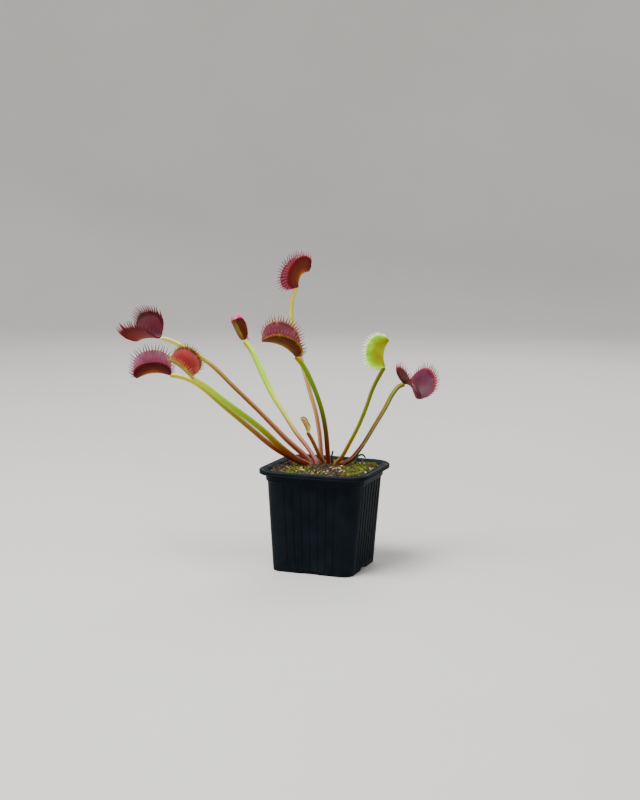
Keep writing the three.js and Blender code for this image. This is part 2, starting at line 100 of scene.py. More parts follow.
ahead = np.array([
    math.sin(CAMERA_PAN) * math.cos(CAMERA_DIP),
    math.cos(CAMERA_PAN) * math.cos(CAMERA_DIP),
    math.sin(CAMERA_DIP),
])
level = np.array([math.cos(CAMERA_PAN), -math.sin(CAMERA_PAN), 0])
upright = np.cross(level, ahead)
right = math.cos(CAMERA_ROLL) * level + math.sin(CAMERA_ROLL) * upright
above = -math.sin(CAMERA_ROLL) * level + math.cos(CAMERA_ROLL) * upright

camera = bpy.data.objects.new("camera", bpy.data.cameras.new("camera"))
camera.data.lens = CAMERA_LENS
camera.data.sensor_width = CAMERA_SENSOR
camera.data.sensor_fit = "AUTO"
turned = Matrix([placed(right), placed(above), placed(-ahead)]).transposed().to_4x4()
camera.matrix_world = Matrix.Translation(placed([0, -CAMERA_AWAY, CAMERA_HEIGHT]) * MM) @ turned
bpy.context.scene.collection.objects.link(camera)
bpy.context.scene.camera = camera
print("camera at", [round(v, 3) for v in camera.location])

# %% [markdown]
# The light is that of a bright room: one large soft source from the left and above, a weaker one on the right
# and a third behind, which draws a thin bright line along rims and stalks. Large lamps give the soft edges.

# %% Lights
PLANT_MIDDLE = Vector((0, 0, 0.1))
ROOM_COLOUR = (0.8, 0.82, 0.85, 1)
ROOM_STRENGTH = 0.46


def soft_light(name, place, power, size, colour=(1, 1, 1)):
    """A square lamp at a place in the fan's frame, in metres, which looks at the plant."""
    lamp = bpy.data.lights.new(name, "AREA")
    lamp.energy = power
    lamp.size = size
    lamp.color = colour
    light = bpy.data.objects.new(name, lamp)
    light.location = placed(place)
    towards = PLANT_MIDDLE - light.location
    light.rotation_euler = towards.to_track_quat("-Z", "Y").to_euler()
    bpy.context.scene.collection.objects.link(light)


soft_light("window", (-0.6, -0.5, 1.4), power=50, size=0.9, colour=(0.97, 0.98, 1.0))
soft_light("room", (1.1, -0.7, 0.7), power=6, size=1.2)
soft_light("behind", (0.3, 1.2, 1.1), power=15, size=1.0)

world = bpy.data.worlds.new("room light")
world.use_nodes = True
world.node_tree.nodes["Background"].inputs["Color"].default_value = ROOM_COLOUR
world.node_tree.nodes["Background"].inputs["Strength"].default_value = ROOM_STRENGTH
bpy.context.scene.world = world
print("lamps:", len(bpy.data.lights))

# %% [markdown]
# Most pieces come out of node trees, in geometry as well as in materials. A small helper keeps the code
# short: it adds a node, sets its options, and feeds each input with a number or with another node's output.

# %% Helper: node trees
NODE_SPACING = 180


def socket_named(sockets, key):
    """The socket with that place or name. Nodes with several data types hide the ones not in use."""
    if isinstance(key, int):
        return sockets[key]
    return next(socket for socket in sockets if socket.name == key and socket.enabled)


class Nodes:
    """A node tree under construction."""

    def __init__(self, tree):
        self.tree = tree

    def add(self, kind, inputs=None, **options):
        """A new node with its options set and its inputs fed."""
        node = self.tree.nodes.new(kind)
        node.location = (NODE_SPACING * len(self.tree.nodes), 0)
        for option, value in options.items():
            setattr(node, option, value)
        for key, value in (inputs or {}).items():
            self.feed(socket_named(node.inputs, key), value)
        return node

    def feed(self, socket, value):
        """Links an output to the socket, or sets the socket's own value."""
        if isinstance(value, bpy.types.NodeSocket):
            self.tree.links.new(value, socket)
        else:
            socket.default_value = value

    def get(self, kind, output, inputs=None, **options):
        """One output of a new node."""
        return socket_named(self.add(kind, inputs, **options).outputs, output)

    def math(self, operation, first, second=0.0, third=0.0):
        """A sum of numbers, such as ADD, or MULTIPLY_ADD with all three."""
        return self.get("ShaderNodeMath", 0, {0: first, 1: second, 2: third}, operation=operation)

    def plus(self, first, second):
        return self.math("ADD", first, second)

    def minus(self, first, second):
        return self.math("SUBTRACT", first, second)

    def times(self, first, second):
        return self.math("MULTIPLY", first, second)

    def clamped(self, value):
        """The value kept between 0 and 1."""
        return self.get("ShaderNodeClamp", 0, {"Value": value})

    def vector(self, operation, first, second=(0, 0, 0)):
        """A sum of vectors. CROSS_PRODUCT and NORMALIZE are among them."""
        return self.get("ShaderNodeVectorMath", 0, {0: first, 1: second}, operation=operation)

    def scaled(self, vector, size):
        """A vector times a number."""
        return self.get("ShaderNodeVectorMath", 0, {0: vector, "Scale": size}, operation="SCALE")

    def combined(self, x=0.0, y=0.0, z=0.0):
        """A vector put together from its three numbers."""
        return self.get("ShaderNodeCombineXYZ", "Vector", {"X": x, "Y": y, "Z": z})

    def parts(self, vector):
        """The three numbers of a vector, under the names X, Y and Z."""
        return self.add("ShaderNodeSeparateXYZ", {"Vector": vector}).outputs

    def carried(self, name, kind="FLOAT"):
        """A number or a vector that each point of a geometry carries under a name."""
        return self.get("GeometryNodeInputNamedAttribute", "Attribute", {"Name": name}, data_type=kind)

    def marked(self, geometry, name, value, **options):
        """The geometry with a number stored on it under a name."""
        return self.get("GeometryNodeStoreNamedAttribute", "Geometry",
                        {"Geometry": geometry, "Name": name, "Value": value}, data_type="FLOAT", **options)

    def random(self, low, high, seed, kind="FLOAT"):
        """A random value for each thing, from low to high."""
        return self.get("FunctionNodeRandomValue", "Value", {"Min": low, "Max": high, "Seed": seed},
                        data_type=kind)


# %% [markdown]
# A geometry tree starts with its own named inputs, so that its sizes can be set from outside. When a tree has
# run, its result is copied out as a plain mesh. The modifier and the object that it started from then go.

# %% Helper: geometry trees
SOCKETS = {
    "number": "NodeSocketFloat", "count": "NodeSocketInt", "vector": "NodeSocketVector",
    "text": "NodeSocketString", "object": "NodeSocketObject", "material": "NodeSocketMaterial",
}


def geometry_tree(name, **inputs):
    """An empty geometry tree with an input for each name, of the kind given for it."""
    tree = bpy.data.node_groups.new(name, "GeometryNodeTree")
    tree.interface.new_socket("Geometry", in_out="INPUT", socket_type="NodeSocketGeometry")
    tree.interface.new_socket("Geometry", in_out="OUTPUT", socket_type="NodeSocketGeometry")
    for label, kind in inputs.items():
        tree.interface.new_socket(label, in_out="INPUT", socket_type=SOCKETS[kind])
    return Nodes(tree), tree.nodes.new("NodeGroupInput").outputs


def finish_tree(nodes, geometry, material, smooth=True):
    """Ends a tree: real geometry, shading and material, then the tree's own output."""
    real = nodes.get("GeometryNodeRealizeInstances", "Geometry", {"Geometry": geometry})
    shaded = nodes.get("GeometryNodeSetShadeSmooth", "Geometry", {"Geometry": real, "Shade Smooth": smooth})
    painted = nodes.get("GeometryNodeSetMaterial", "Geometry", {"Geometry": shaded, "Material": material})
    nodes.add("NodeGroupOutput", {"Geometry": painted})
    print(f"tree {nodes.tree.name}: {len(nodes.tree.nodes)} nodes")
    return nodes.tree


def grow(name, start, tree, **values):
    """Runs a geometry tree on an object and gives back the result as a plain mesh object."""
    modifier = start.modifiers.new(tree.name, "NODES")
    modifier.node_group = tree
    for item in tree.interface.items_tree:
        if item.in_out == "INPUT" and item.name in values:
            modifier[item.identifier] = values[item.name]
    return baked(name, start)


def baked(name, start):
    """A plain mesh object of what an object looks like with its modifiers. The first object goes."""
    depsgraph = bpy.context.evaluated_depsgraph_get()
    mesh = bpy.data.meshes.new_from_object(
        start.evaluated_get(depsgraph), preserve_all_data_layers=True, depsgraph=depsgraph)
    mesh.name = name
    bpy.data.objects.remove(start)
    return in_scene(bpy.data.objects.new(name, mesh))


def in_scene(piece):
    bpy.context.scene.collection.objects.link(piece)
    return piece


# %% [markdown]
# The other pieces are written point by point. A mesh can carry a number at every point, which Blender calls
# an attribute. The materials read these numbers to know where on a leaf they are.

# %% Helper: meshes


def mesh_piece(name, points, faces, edges=(), **attributes):
    """A mesh object from points in metres, with an attribute for each further name."""
    mesh = bpy.data.meshes.new(name)
    mesh.from_pydata(np.asarray(points).reshape(-1, 3).tolist(), list(edges), faces)
    for label, values in attributes.items():
        values = np.asarray(values, float)
        directions = values.ndim > 1 and values.shape[-1] == 3 and values.size == 3 * len(mesh.vertices)
        layer = mesh.attributes.new(label, "FLOAT_VECTOR" if directions else "FLOAT", "POINT")
        layer.data.foreach_set("vector" if directions else "value", values.ravel())
    return in_scene(bpy.data.objects.new(name, mesh))


def grid_faces(rows, columns, wrap=False):
    """Four-sided faces between rows of points. With wrap, each row closes on itself."""
    last = columns if wrap else columns - 1
    return [
        (r * columns + c, r * columns + (c + 1) % columns,
         (r + 1) * columns + (c + 1) % columns, (r + 1) * columns + c)
        for r in range(rows - 1) for c in range(last)
    ]


def tidy(piece, weld=0.0, sharp=None):
    """Welds points closer than weld, turns a closed skin's faces outwards and shades it smooth.

    Edges bent by more than sharp, in degrees, stay sharp.
    """
    mesh = bmesh.new()
    mesh.from_mesh(piece.data)
    if weld:
        bmesh.ops.remove_doubles(mesh, verts=mesh.verts, dist=weld)
    if mesh.calc_volume(signed=True) < 0:
        bmesh.ops.reverse_faces(mesh, faces=mesh.faces)
    mesh.to_mesh(piece.data)
    mesh.free()
    piece.data.shade_smooth()
    if sharp:
        piece.data.set_sharp_from_angle(angle=math.radians(sharp))
    return piece


def settle(piece, slot, *nodes):
    """Hangs a finished piece on the frame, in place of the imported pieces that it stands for."""
    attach(piece, "root")
    if nodes:
        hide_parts(*nodes)
    triangles = sum(len(face.vertices) - 2 for face in piece.data.polygons)
    open_edges = edges_with_one_face(piece.data)
    print(f"{piece.name}: {triangles} triangles, open edges {open_edges}")


def edges_with_one_face(mesh):
    """How many edges a skin leaves open. A closed skin has none."""
    used = np.zeros(len(mesh.edges), int)
    edge_of = np.zeros(len(mesh.loops), int)
    mesh.loops.foreach_get("edge_index", edge_of)
    np.add.at(used, edge_of, 1)
    return int((used == 1).sum())


# %% [markdown]
# Colours are written as a painter picks them, as six hexadecimal digits, and turned into the linear light
# that shaders reckon with. A finish starts from Blender's all-round shader with its plain numbers set on it.

# %% Helper: finishes


def colour(code):
    """A colour such as 7a1a24 as linear red, green, blue and full cover."""
    channels = [int(code[i:i + 2], 16) / 255 for i in (0, 2, 4)]
    linear = [c / 12.92 if c <= 0.04045 else ((c + 0.055) / 1.055) ** 2.4 for c in channels]
    return (*linear, 1.0)


def new_finish(name, **numbers):
    """A material, the helper for its tree and its shader, with the shader's plain numbers set."""
    material = bpy.data.materials.new(name)
    material.use_nodes = True
    shader = material.node_tree.nodes["Principled BSDF"]
    for label, value in numbers.items():
        shader.inputs[label.replace("_", " ")].default_value = value
    return material, Nodes(material.node_tree), shader


def gradient(nodes, share, stops):
    """A colour that runs through the stops, each a place from 0 to 1 and a colour code."""
    ramp = nodes.add("ShaderNodeValToRGB", {"Fac": share})
    points = ramp.color_ramp.elements
    for index, (place, code) in enumerate(stops):
        point = points[index] if index < 2 else points.new(place)
        point.position = place
        point.color = colour(code)
    return ramp.outputs["Color"]


def mixed(nodes, share, first, second, how="MIX"):
    """The first colour with a share of the second laid over it."""
    return nodes.get("ShaderNodeMix", "Result", {"Factor": share, "A": first, "B": second},
                     data_type="RGBA", blend_type=how)


def between(nodes, value, low, high):
    """0 below low, 1 above high and a soft step between them."""
    return nodes.get("ShaderNodeMapRange", "Result", {"Value": value, "From Min": low, "From Max": high},
                     interpolation_type="SMOOTHSTEP")


def attribute(nodes, name):
    """A number that the mesh carries at its points."""
    return nodes.get("ShaderNodeAttribute", "Fac", attribute_name=name)


def speckle(nodes, per_metre, detail=3.0, stretch=(1, 1, 1)):
    """Cloudy noise over the piece's own place, with so many clouds in a metre."""
    place = nodes.get("ShaderNodeTexCoord", "Object")
    mapped = nodes.get("ShaderNodeMapping", "Vector", {"Vector": place, "Scale": stretch})
    return nodes.get("ShaderNodeTexNoise", "Fac", {"Vector": mapped, "Scale": per_metre, "Detail": detail})


def bumps(nodes, shader, height, depth):
    """Lets a height from 0 to 1 tilt the light, as a relief of that depth in metres would."""
    bump = nodes.get("ShaderNodeBump", "Normal", {"Height": height, "Distance": depth, "Strength": 1.0})
    nodes.feed(shader.inputs["Normal"], bump)


# %% [markdown]
# The stage is a pale, seamless bowl: flat where the pot stands, and curving up all round far behind it. A
# square sheet would end somewhere in the side views. A bowl looks the same from everywhere.

# %% Floor, in metres
FLOOR_CENTRE = 0.02
FLOOR_FLAT = 1.7
FLOOR_RADIUS = 0.6
FLOOR_WALL = 0.5
FLOOR_SIDES = 72
FLOOR_BENDS = 12

floor_profile = [(FLOOR_CENTRE, 0), (FLOOR_FLAT * 0.5, 0)]
floor_profile += [
    (FLOOR_FLAT + FLOOR_RADIUS * math.sin(a), FLOOR_RADIUS * (1 - math.cos(a)))
    for a in np.radians(np.linspace(0, 90, FLOOR_BENDS))
]
floor_profile.append((FLOOR_FLAT + FLOOR_RADIUS, FLOOR_RADIUS + FLOOR_WALL))
floor_turns = np.linspace(0, 2 * np.pi, FLOOR_SIDES + 1)[:-1]
floor_points = np.array([
    [(r * math.cos(a), r * math.sin(a), z) for a in floor_turns] for r, z in floor_profile
])
floor_bands = grid_faces(len(floor_profile), FLOOR_SIDES, wrap=True)
floor = mesh_piece("floor", floor_points, [*floor_bands, tuple(range(FLOOR_SIDES))])
floor.data.shade_smooth()
floor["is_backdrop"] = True

floor_paint, nodes, shader = new_finish("pale floor", Roughness=0.85)
floor_colour = gradient(nodes, speckle(nodes, 3), [(0.3, "c6c3be"), (0.7, "cbc8c4")])
nodes.feed(shader.inputs["Base Color"], floor_colour)
floor.data.materials.append(floor_paint)

# %% [markdown]
# ## The pot
#
# The pot is moulded in one piece from thin plastic. It is square with round corners, narrows to its foot, and
# has a collar and a wide rim with a rolled edge. Its walls follow a rule, so it is built as a stack of rings:
# each ring is a square with round corners, and the list of rings is the section through the wall.

# %% Sizes of the pot, in millimetres
POT = {
    "height": 72, "rim_half": 40, "rim_radius": 18, "rim_drop": 3.2, "rim_ledge": 4.6,
    "top_half": 35.2, "base_half": 29.5, "top_radius": 16, "base_radius": 7.8,
    "wall": 1.2, "floor": 3.4, "collar_drop": 8, "collar_proud": 1.1, "edge": 0.8, "roll": 1.1,
}
CORNER_STEPS = 14


def wall_share(z):
    """How far up the tapered wall a height is, from 0 to 1 under the rim."""
    return z / (POT["height"] - POT["rim_drop"])


def wall_half(z):
    return POT["base_half"] + (POT["top_half"] - POT["base_half"]) * wall_share(z)


def wall_radius(z):
    return POT["base_radius"] + (POT["top_radius"] - POT["base_radius"]) * wall_share(z)


def square_ring(half, radius, z):
    """Points round a square with round corners."""
    ring = []
    for corner in range(4):
        start = corner * math.pi / 2
        middle = start + math.pi / 4
        centre_x = math.copysign(half - radius, math.cos(middle))
        centre_y = math.copysign(half - radius, math.sin(middle))
        for angle in np.linspace(start, start + math.pi / 2, CORNER_STEPS + 1):
            ring.append((centre_x + radius * math.cos(angle), centre_y + radius * math.sin(angle), z))
    return ring


def wall_ring(proud, z):
    """A ring so far outside the tapered wall."""
    return square_ring(wall_half(z) + proud, wall_radius(z) + proud, z)


def rim_ring(inset, z):
    """A ring so far inside the rim's outer edge."""
    return square_ring(POT["rim_half"] - inset, POT["rim_radius"] - inset, z)


# %% The pot's shell
GROOVE = {"deep": 0.55, "from": 2.2, "to": 3.5}


def pot_rings():
    """The section through the wall: up the outside, over the rim with its groove and down the inside."""
    top = POT["height"]
    edge = POT["edge"]
    collar = top - POT["collar_drop"]
    under = top - POT["rim_drop"]
    proud = POT["collar_proud"]
    lip = POT["rim_ledge"]
    roll = POT["roll"]
    wall = POT["wall"]
    foot_turns = np.radians(np.linspace(0, 90, 5))
    rim_turns = np.radians(np.linspace(0, 90, 7))
    # The rounded foot and the plain wall.
    rings = [wall_ring(-edge + edge * math.sin(a), edge - edge * math.cos(a)) for a in foot_turns]
    rings += [wall_ring(0, z) for z in np.linspace(4, collar - 1.2, 8)]
    # The collar.
    rings += [wall_ring(out, z) for out, z in (
        (0.25 * proud, collar - 0.7), (0.8 * proud, collar - 0.1), (proud, collar + 0.5),
        (proud, under - 0.6), (proud + 0.3, under - 0.1),
    )]
    # The rim's outer side, with a shallow line round it, and its rolled edge.
    rings += [rim_ring(inset, z) for inset, z in (
        (1.0, under), (0.35, under + 0.12), (0.03, under + 0.5),
        (0.12, under + 0.95), (0.34, under + 1.25), (0.1, under + 1.6),
    )]
    rings += [rim_ring(roll - roll * math.cos(a), top - roll + roll * math.sin(a)) for a in rim_turns]
    # The groove in the rim's top, and the lip round the opening.
    rings += [rim_ring(inset, z) for inset, z in (
        (GROOVE["from"] - 0.4, top - 0.12), (GROOVE["from"], top - GROOVE["deep"]),
        (GROOVE["to"], top - GROOVE["deep"]), (GROOVE["to"] + 0.35, top - 0.1),
        (lip - 0.3, top), (lip + 0.05, top - 0.12), (lip + 0.35, top - 0.5),
    )]
    # The inside, down to the floor.
    rings += [wall_ring(-wall, top - 1.2), wall_ring(-wall, POT["floor"] + edge)]
    rings.append(wall_ring(-wall - edge, POT["floor"]))
    return rings


rings = np.array(pot_rings())
around = rings.shape[1]
shell_faces = grid_faces(len(rings), around, wrap=True)
shell_faces.append(tuple(reversed(range(around))))
shell_faces.append(tuple((len(rings) - 1) * around + i for i in range(around)))
shell = tidy(mesh_piece("pot shell", rings * MM, shell_faces))
print("rings in the pot's wall:", len(rings))

# %% [markdown]
# A notch in the middle of each bottom edge lets air under the pot, and a drain hole opens into each one. They
# are cut out with Boolean modifiers, as a milling cutter would: the shell stays easy to change that way.

# %% Cut the notches and the drain holes
NOTCH = {"width": 12.5, "height": 2.0, "reach": 12.0}
DRAIN = {"radius": 2.6, "from_end": 1.4, "sides": 24}
PAST = {"front": 4, "below": 3, "above": 2}  # how far a cutter reaches past the plastic
SHARP_EDGE = 38


def turned_four_times(points):
    """The same points on all four sides of the pot."""
    return np.concatenate([
        np.stack([points[:, 0] * c - points[:, 1] * s, points[:, 0] * s + points[:, 1] * c, points[:, 2]], 1)
        for c, s in ((1, 0), (0, 1), (-1, 0), (0, -1))
    ])


def prism(outline, low, high):
    """A straight bar over an outline of X, Y points, with its faces."""
    count = len(outline)
    points = np.array([(x, y, z) for z in (low, high) for x, y in outline])
    faces = grid_faces(2, count, wrap=True)
    return points, [*faces, tuple(reversed(range(count))), tuple(range(count, 2 * count))]


def cutter(name, outline, low, high):
    points, faces = prism(outline, low, high)
    all_faces = [tuple(i + side * len(points) for i in face) for side in range(4) for face in faces]
    return tidy(mesh_piece(name, turned_four_times(points) * MM, all_faces))


front = -POT["base_half"]
half_width = NOTCH["width"] / 2
notch_outline = [(-half_width, front - PAST["front"]), (half_width, front - PAST["front"]),
                 (half_width, front + NOTCH["reach"]), (-half_width, front + NOTCH["reach"])]
drain_y = front + NOTCH["reach"] - DRAIN["from_end"] * DRAIN["radius"]
drain_outline = [(DRAIN["radius"] * math.cos(a), drain_y + DRAIN["radius"] * math.sin(a))
                 for a in np.linspace(0, 2 * np.pi, DRAIN["sides"] + 1)[:-1]]
cutters = [cutter("notches", notch_outline, -PAST["below"], NOTCH["height"]),
           cutter("drain holes", drain_outline, NOTCH["height"] / 2, POT["floor"] + PAST["above"])]
for tool in cutters:
    boolean = shell.modifiers.new(tool.name, "BOOLEAN")
    boolean.operation = "DIFFERENCE"
    boolean.solver = "EXACT"
    boolean.object = tool
pot = tidy(baked("nursery_pot", shell), sharp=SHARP_EDGE)
for tool in cutters:
    bpy.data.objects.remove(tool)

# %% [markdown]
# Fine upright ribs stiffen the walls. They repeat, so a geometry tree makes them: one upright line for each
# rib, all of them drawn together towards the foot as the wall narrows, swept with a small round and then
# turned onto the four sides.

# %% Ribs on the pot's walls
RIB = {"count": 7, "pitch": 6.4, "foot": 4, "radius": 0.38, "steps": 14, "sides": 10,
       "taper": 9.0, "tip": 0.15}

nodes, given = geometry_tree("ribs", Count="count", Pitch="number", Foot="number", Top="number",
                             Radius="number", TopHalf="number", BaseHalf="number", WallTop="number",
                             Paint="material")
column = nodes.get("GeometryNodeMeshLine", "Mesh", {"Count": given["Count"], "Offset": (1, 0, 0)})
upright_line = nodes.get("GeometryNodeCurvePrimitiveLine", "Curve", {
    "Start": nodes.combined(z=given["Foot"]), "End": nodes.combined(z=given["Top"])})
line = nodes.get("GeometryNodeResampleCurve", "Curve", {"Curve": upright_line, "Count": RIB["steps"]})
copies = nodes.get("GeometryNodeInstanceOnPoints", "Instances", {"Points": column, "Instance": line})
lines = nodes.get("GeometryNodeRealizeInstances", "Geometry", {"Geometry": copies})
spot = nodes.parts(nodes.get("GeometryNodeInputPosition", "Position"))
middle = nodes.times(nodes.minus(given["Count"], 1), 0.5)
offset = nodes.times(nodes.minus(spot["X"], middle), given["Pitch"])
widening = nodes.minus(given["TopHalf"], given["BaseHalf"])
share = nodes.math("DIVIDE", spot["Z"], given["WallTop"])
half = nodes.math("MULTIPLY_ADD", widening, share, given["BaseHalf"])
drawn_in = nodes.times(offset, nodes.math("DIVIDE", half, given["TopHalf"]))
on_wall = nodes.combined(drawn_in, nodes.times(half, -1), spot["Z"])
set_out = nodes.get("GeometryNodeSetPosition", "Geometry", {"Geometry": lines, "Position": on_wall})
run = nodes.get("GeometryNodeSplineParameter", "Factor")
to_end = nodes.math("MINIMUM", run, nodes.minus(1.0, run))
slim = nodes.clamped(nodes.math("MULTIPLY_ADD", to_end, RIB["taper"], RIB["tip"]))
tapered = nodes.get("GeometryNodeSetCurveRadius", "Curve", {"Curve": set_out, "Radius": slim})
round_section = nodes.get("GeometryNodeCurvePrimitiveCircle", "Curve",
                          {"Resolution": RIB["sides"], "Radius": given["Radius"]})
swept = nodes.get("GeometryNodeCurveToMesh", "Mesh",
                  {"Curve": tapered, "Profile Curve": round_section, "Fill Caps": True})
sides = nodes.get("GeometryNodeMeshLine", "Mesh", {"Count": 4, "Offset": (0, 0, 0)})
quarter = nodes.times(nodes.get("GeometryNodeInputIndex", "Index"), math.pi / 2)
all_round = nodes.get("GeometryNodeInstanceOnPoints", "Instances",
                      {"Points": sides, "Instance": swept, "Rotation": nodes.combined(z=quarter)})
ribs_tree = finish_tree(nodes, all_round, given["Paint"])

# %% [markdown]
# The plastic is nearly black with a touch of blue, and satin rather than glossy. Peat dust has dried on what
# faces up and round the foot, where the pot is handled least. The colour and the dust come from noise over
# the pot's own place, so they stay put from every side. A teal tint on the rim's top is a painted highlight,
# for the sheen of the window light.

# %% Plastic
FOOT_DUST = (0.0, 0.02)  # metres up the wall
RIM_TOP = (0.07, 0.0715)

plastic, nodes, shader = new_finish("black nursery plastic", Roughness=0.42, Specular_IOR_Level=0.03, IOR=1.3)
body_colour = gradient(nodes, speckle(nodes, 60), [(0.3, "0d1115"), (0.7, "13181d")])
height = nodes.parts(nodes.get("ShaderNodeTexCoord", "Object"))["Z"]
upward = nodes.parts(nodes.get("ShaderNodeNewGeometry", "Normal"))["Z"]
faces_up = between(nodes, upward, 0.3, 0.95)
near_foot = nodes.minus(1.0, between(nodes, height, *FOOT_DUST))
patchy = between(nodes, speckle(nodes, 190, 6), 0.42, 0.7)
where_dust_lies = nodes.math("MAXIMUM", faces_up, nodes.times(near_foot, 0.25))
dust = nodes.times(patchy, where_dust_lies)
dusty = mixed(nodes, nodes.times(dust, 0.26), body_colour, colour("4a463e"))
# Painted highlight: the rim's top is tinted teal for the sheen of the window light on it.
on_rim = nodes.times(faces_up, between(nodes, height, *RIM_TOP))
painted_rim_sheen = mixed(nodes, nodes.times(on_rim, 0.24), dusty, colour("26383c"))
nodes.feed(shader.inputs["Base Color"], painted_rim_sheen)
nodes.feed(shader.inputs["Roughness"], nodes.math("MULTIPLY_ADD", speckle(nodes, 240), 0.16, 0.34))
grain = nodes.plus(speckle(nodes, 2600, 2), nodes.times(speckle(nodes, 130, 4), 1.5))
bumps(nodes, shader, grain, 0.00008)

pot.data.materials.append(plastic)
settle(pot, "pot_plastic", "pot")
ribs = tidy(grow("pot_ribs", mesh_piece("rib start", [(0, 0, 0)], []), ribs_tree, Count=RIB["count"],
                 Pitch=RIB["pitch"] * MM, Foot=RIB["foot"] * MM, Radius=RIB["radius"] * MM,
                 Top=(POT["height"] - POT["collar_drop"]) * MM, TopHalf=POT["top_half"] * MM,
                 BaseHalf=POT["base_half"] * MM, WallTop=(POT["height"] - POT["rim_drop"]) * MM,
                 Paint=plastic))
settle(ribs, "pot_plastic", "pot")

# %% [markdown]
# ## Peat, moss and grit
#
# The pot is full of dark peat, a little lower at the wall and heaped up where the leaves come out. Its top is
# a set of rings, from the wall to the middle, lifted by a formula and by two sizes of noise. Below the top it
# goes on down the inside of the pot, so that it closes and shows in the drain holes.

# %% Peat
SOIL = {"edge": 69.4, "mound": 2.1, "spread": 17, "lump": 0.55, "clod": 0.85, "clear": 0.32}
SOIL_RINGS = 46
RING_SPACING = 0.9
SIDE_LEVELS = (66, 40, POT["floor"] + 0.6)


def cloud_at(x, y, per_millimetre, slice_height):
    """Smooth noise over the pot, from about -1 to 1, with so many clouds in a millimetre."""
    return noise.noise(Vector((x * per_millimetre, y * per_millimetre, slice_height)))


def soil_height(x, y):
    """Height of the peat over a place in the pot, in millimetres."""
    heap = SOIL["mound"] * math.exp(-(x * x + y * y) / (2 * SOIL["spread"] ** 2))
    lumps = math.sin(0.41 * x + 1.3) * math.cos(0.37 * y - 0.4) + 0.5 * math.sin(0.9 * x - 0.7 * y)
    clods = cloud_at(x, y, 0.32, 4.1) + 0.5 * cloud_at(x, y, 0.9, 7.7)
    return SOIL["edge"] + heap + SOIL["lump"] * lumps + SOIL["clod"] * clods


def near(x, y, patch_x, patch_y, reach):
    """1 in the middle of a patch, fading to 0 with distance. The patch is placed in the fan's frame."""
    centre = placed([patch_x, patch_y, 0])
    return math.exp(-((x - centre[0]) ** 2 + (y - centre[1]) ** 2) / (reach * reach))


MOSS_PATCHES = [(-26, 4, 11), (-30, -10, 9), (25, 2, 11), (14, -25, 8), (28, -15, 8), (2, 30, 11),
                (-20, -26, 8), (34, 16, 9), (14, 14, 7)]
GRIT_PATCHES = [(-6, -20, 9), (-14, -14, 6), (31, 20, 8), (22, -21, 6), (-18, 20, 7), (9, -10, 6)]
COVER = {"in_patch": 2.1, "gaps": 0.12, "stray": 0.4, "stray_above": 0.62}
MOSS_HIDES = 0.7


def cover(x, y, patches, seed):
    """How thickly moss or grit covers a place, from 0 to 1: in its patches, and a little of it anywhere."""
    patch = sum(near(x, y, *place) for place in patches)
    cloud = 0.5 + 0.9 * cloud_at(x, y, 0.11, seed)
    cloud += 0.6 * cloud_at(x, y, 0.36, seed)
    in_patch = COVER["in_patch"] * patch * (cloud - COVER["gaps"])
    stray = COVER["stray"] * (cloud - COVER["stray_above"])
    return min(1, max(0, in_patch + stray))


inside = POT["wall"] + SOIL["clear"]
brim = np.array(wall_ring(-inside, SOIL["edge"]))
shares = np.linspace(0, 1, SOIL_RINGS) ** RING_SPACING
top_points = np.array([[(x * s, y * s, soil_height(x * s, y * s)) for x, y, _ in brim] for s in shares[1:]])
top_flat = top_points.reshape(-1, 3)
moss_cover = [cover(x, y, MOSS_PATCHES, 2.5) for x, y, _ in top_flat]
grit_cover = [cover(x, y, GRIT_PATCHES, 9.5) for x, y, _ in top_flat]
bare_cover = [1 - MOSS_HIDES * moss for moss in moss_cover]

below = np.array([wall_ring(-inside, z) for z in SIDE_LEVELS])
heart = [[0, 0, soil_height(0, 0)]]
ring_count, ring_size = len(top_points) + len(below), len(brim)
peat_points = np.concatenate([top_flat, below.reshape(-1, 3), heart])
peat_faces = grid_faces(ring_count, ring_size, wrap=True)
peat_faces += [((i + 1) % ring_size, i, len(peat_points) - 1) for i in range(ring_size)]
peat_faces.append(tuple((ring_count - 1) * ring_size + i for i in range(ring_size)))
down = [0.0] * (len(below) * ring_size + 1)
peat = tidy(mesh_piece("peat", peat_points * MM, peat_faces, moss=[*moss_cover, *down]))
print("highest peat:", round(max(p[2] for p in top_flat), 1), "mm")

# %% [markdown]
# Wet peat is almost black, brown where it has dried, and green where moss starts on it. The moss number on
# the mesh tints it, so the ground under the tufts is never bare brown.

# %% Finish of the peat
peat_paint, nodes, shader = new_finish("wet peat", Roughness=0.82)
wetness = gradient(nodes, speckle(nodes, 330, 8), [(0.3, "080402"), (0.55, "20140a"), (0.78, "52381a")])
greened = mixed(nodes, nodes.times(attribute(nodes, "moss"), 0.7), wetness, colour("3e420c"))
nodes.feed(shader.inputs["Base Color"], greened)
bumps(nodes, shader, speckle(nodes, 900, 8), 0.0009)
peat.data.materials.append(peat_paint)
settle(peat, "peat", "soil")

# %% [markdown]
# Crumbs of peat, grains of grit, fibres and tufts of moss all lie on the same ground. One geometry tree
# scatters any of them: it picks random places where a named number on the ground is high, and sets a small
# model there at a random turn and size. The seed keeps them where they are in every run.

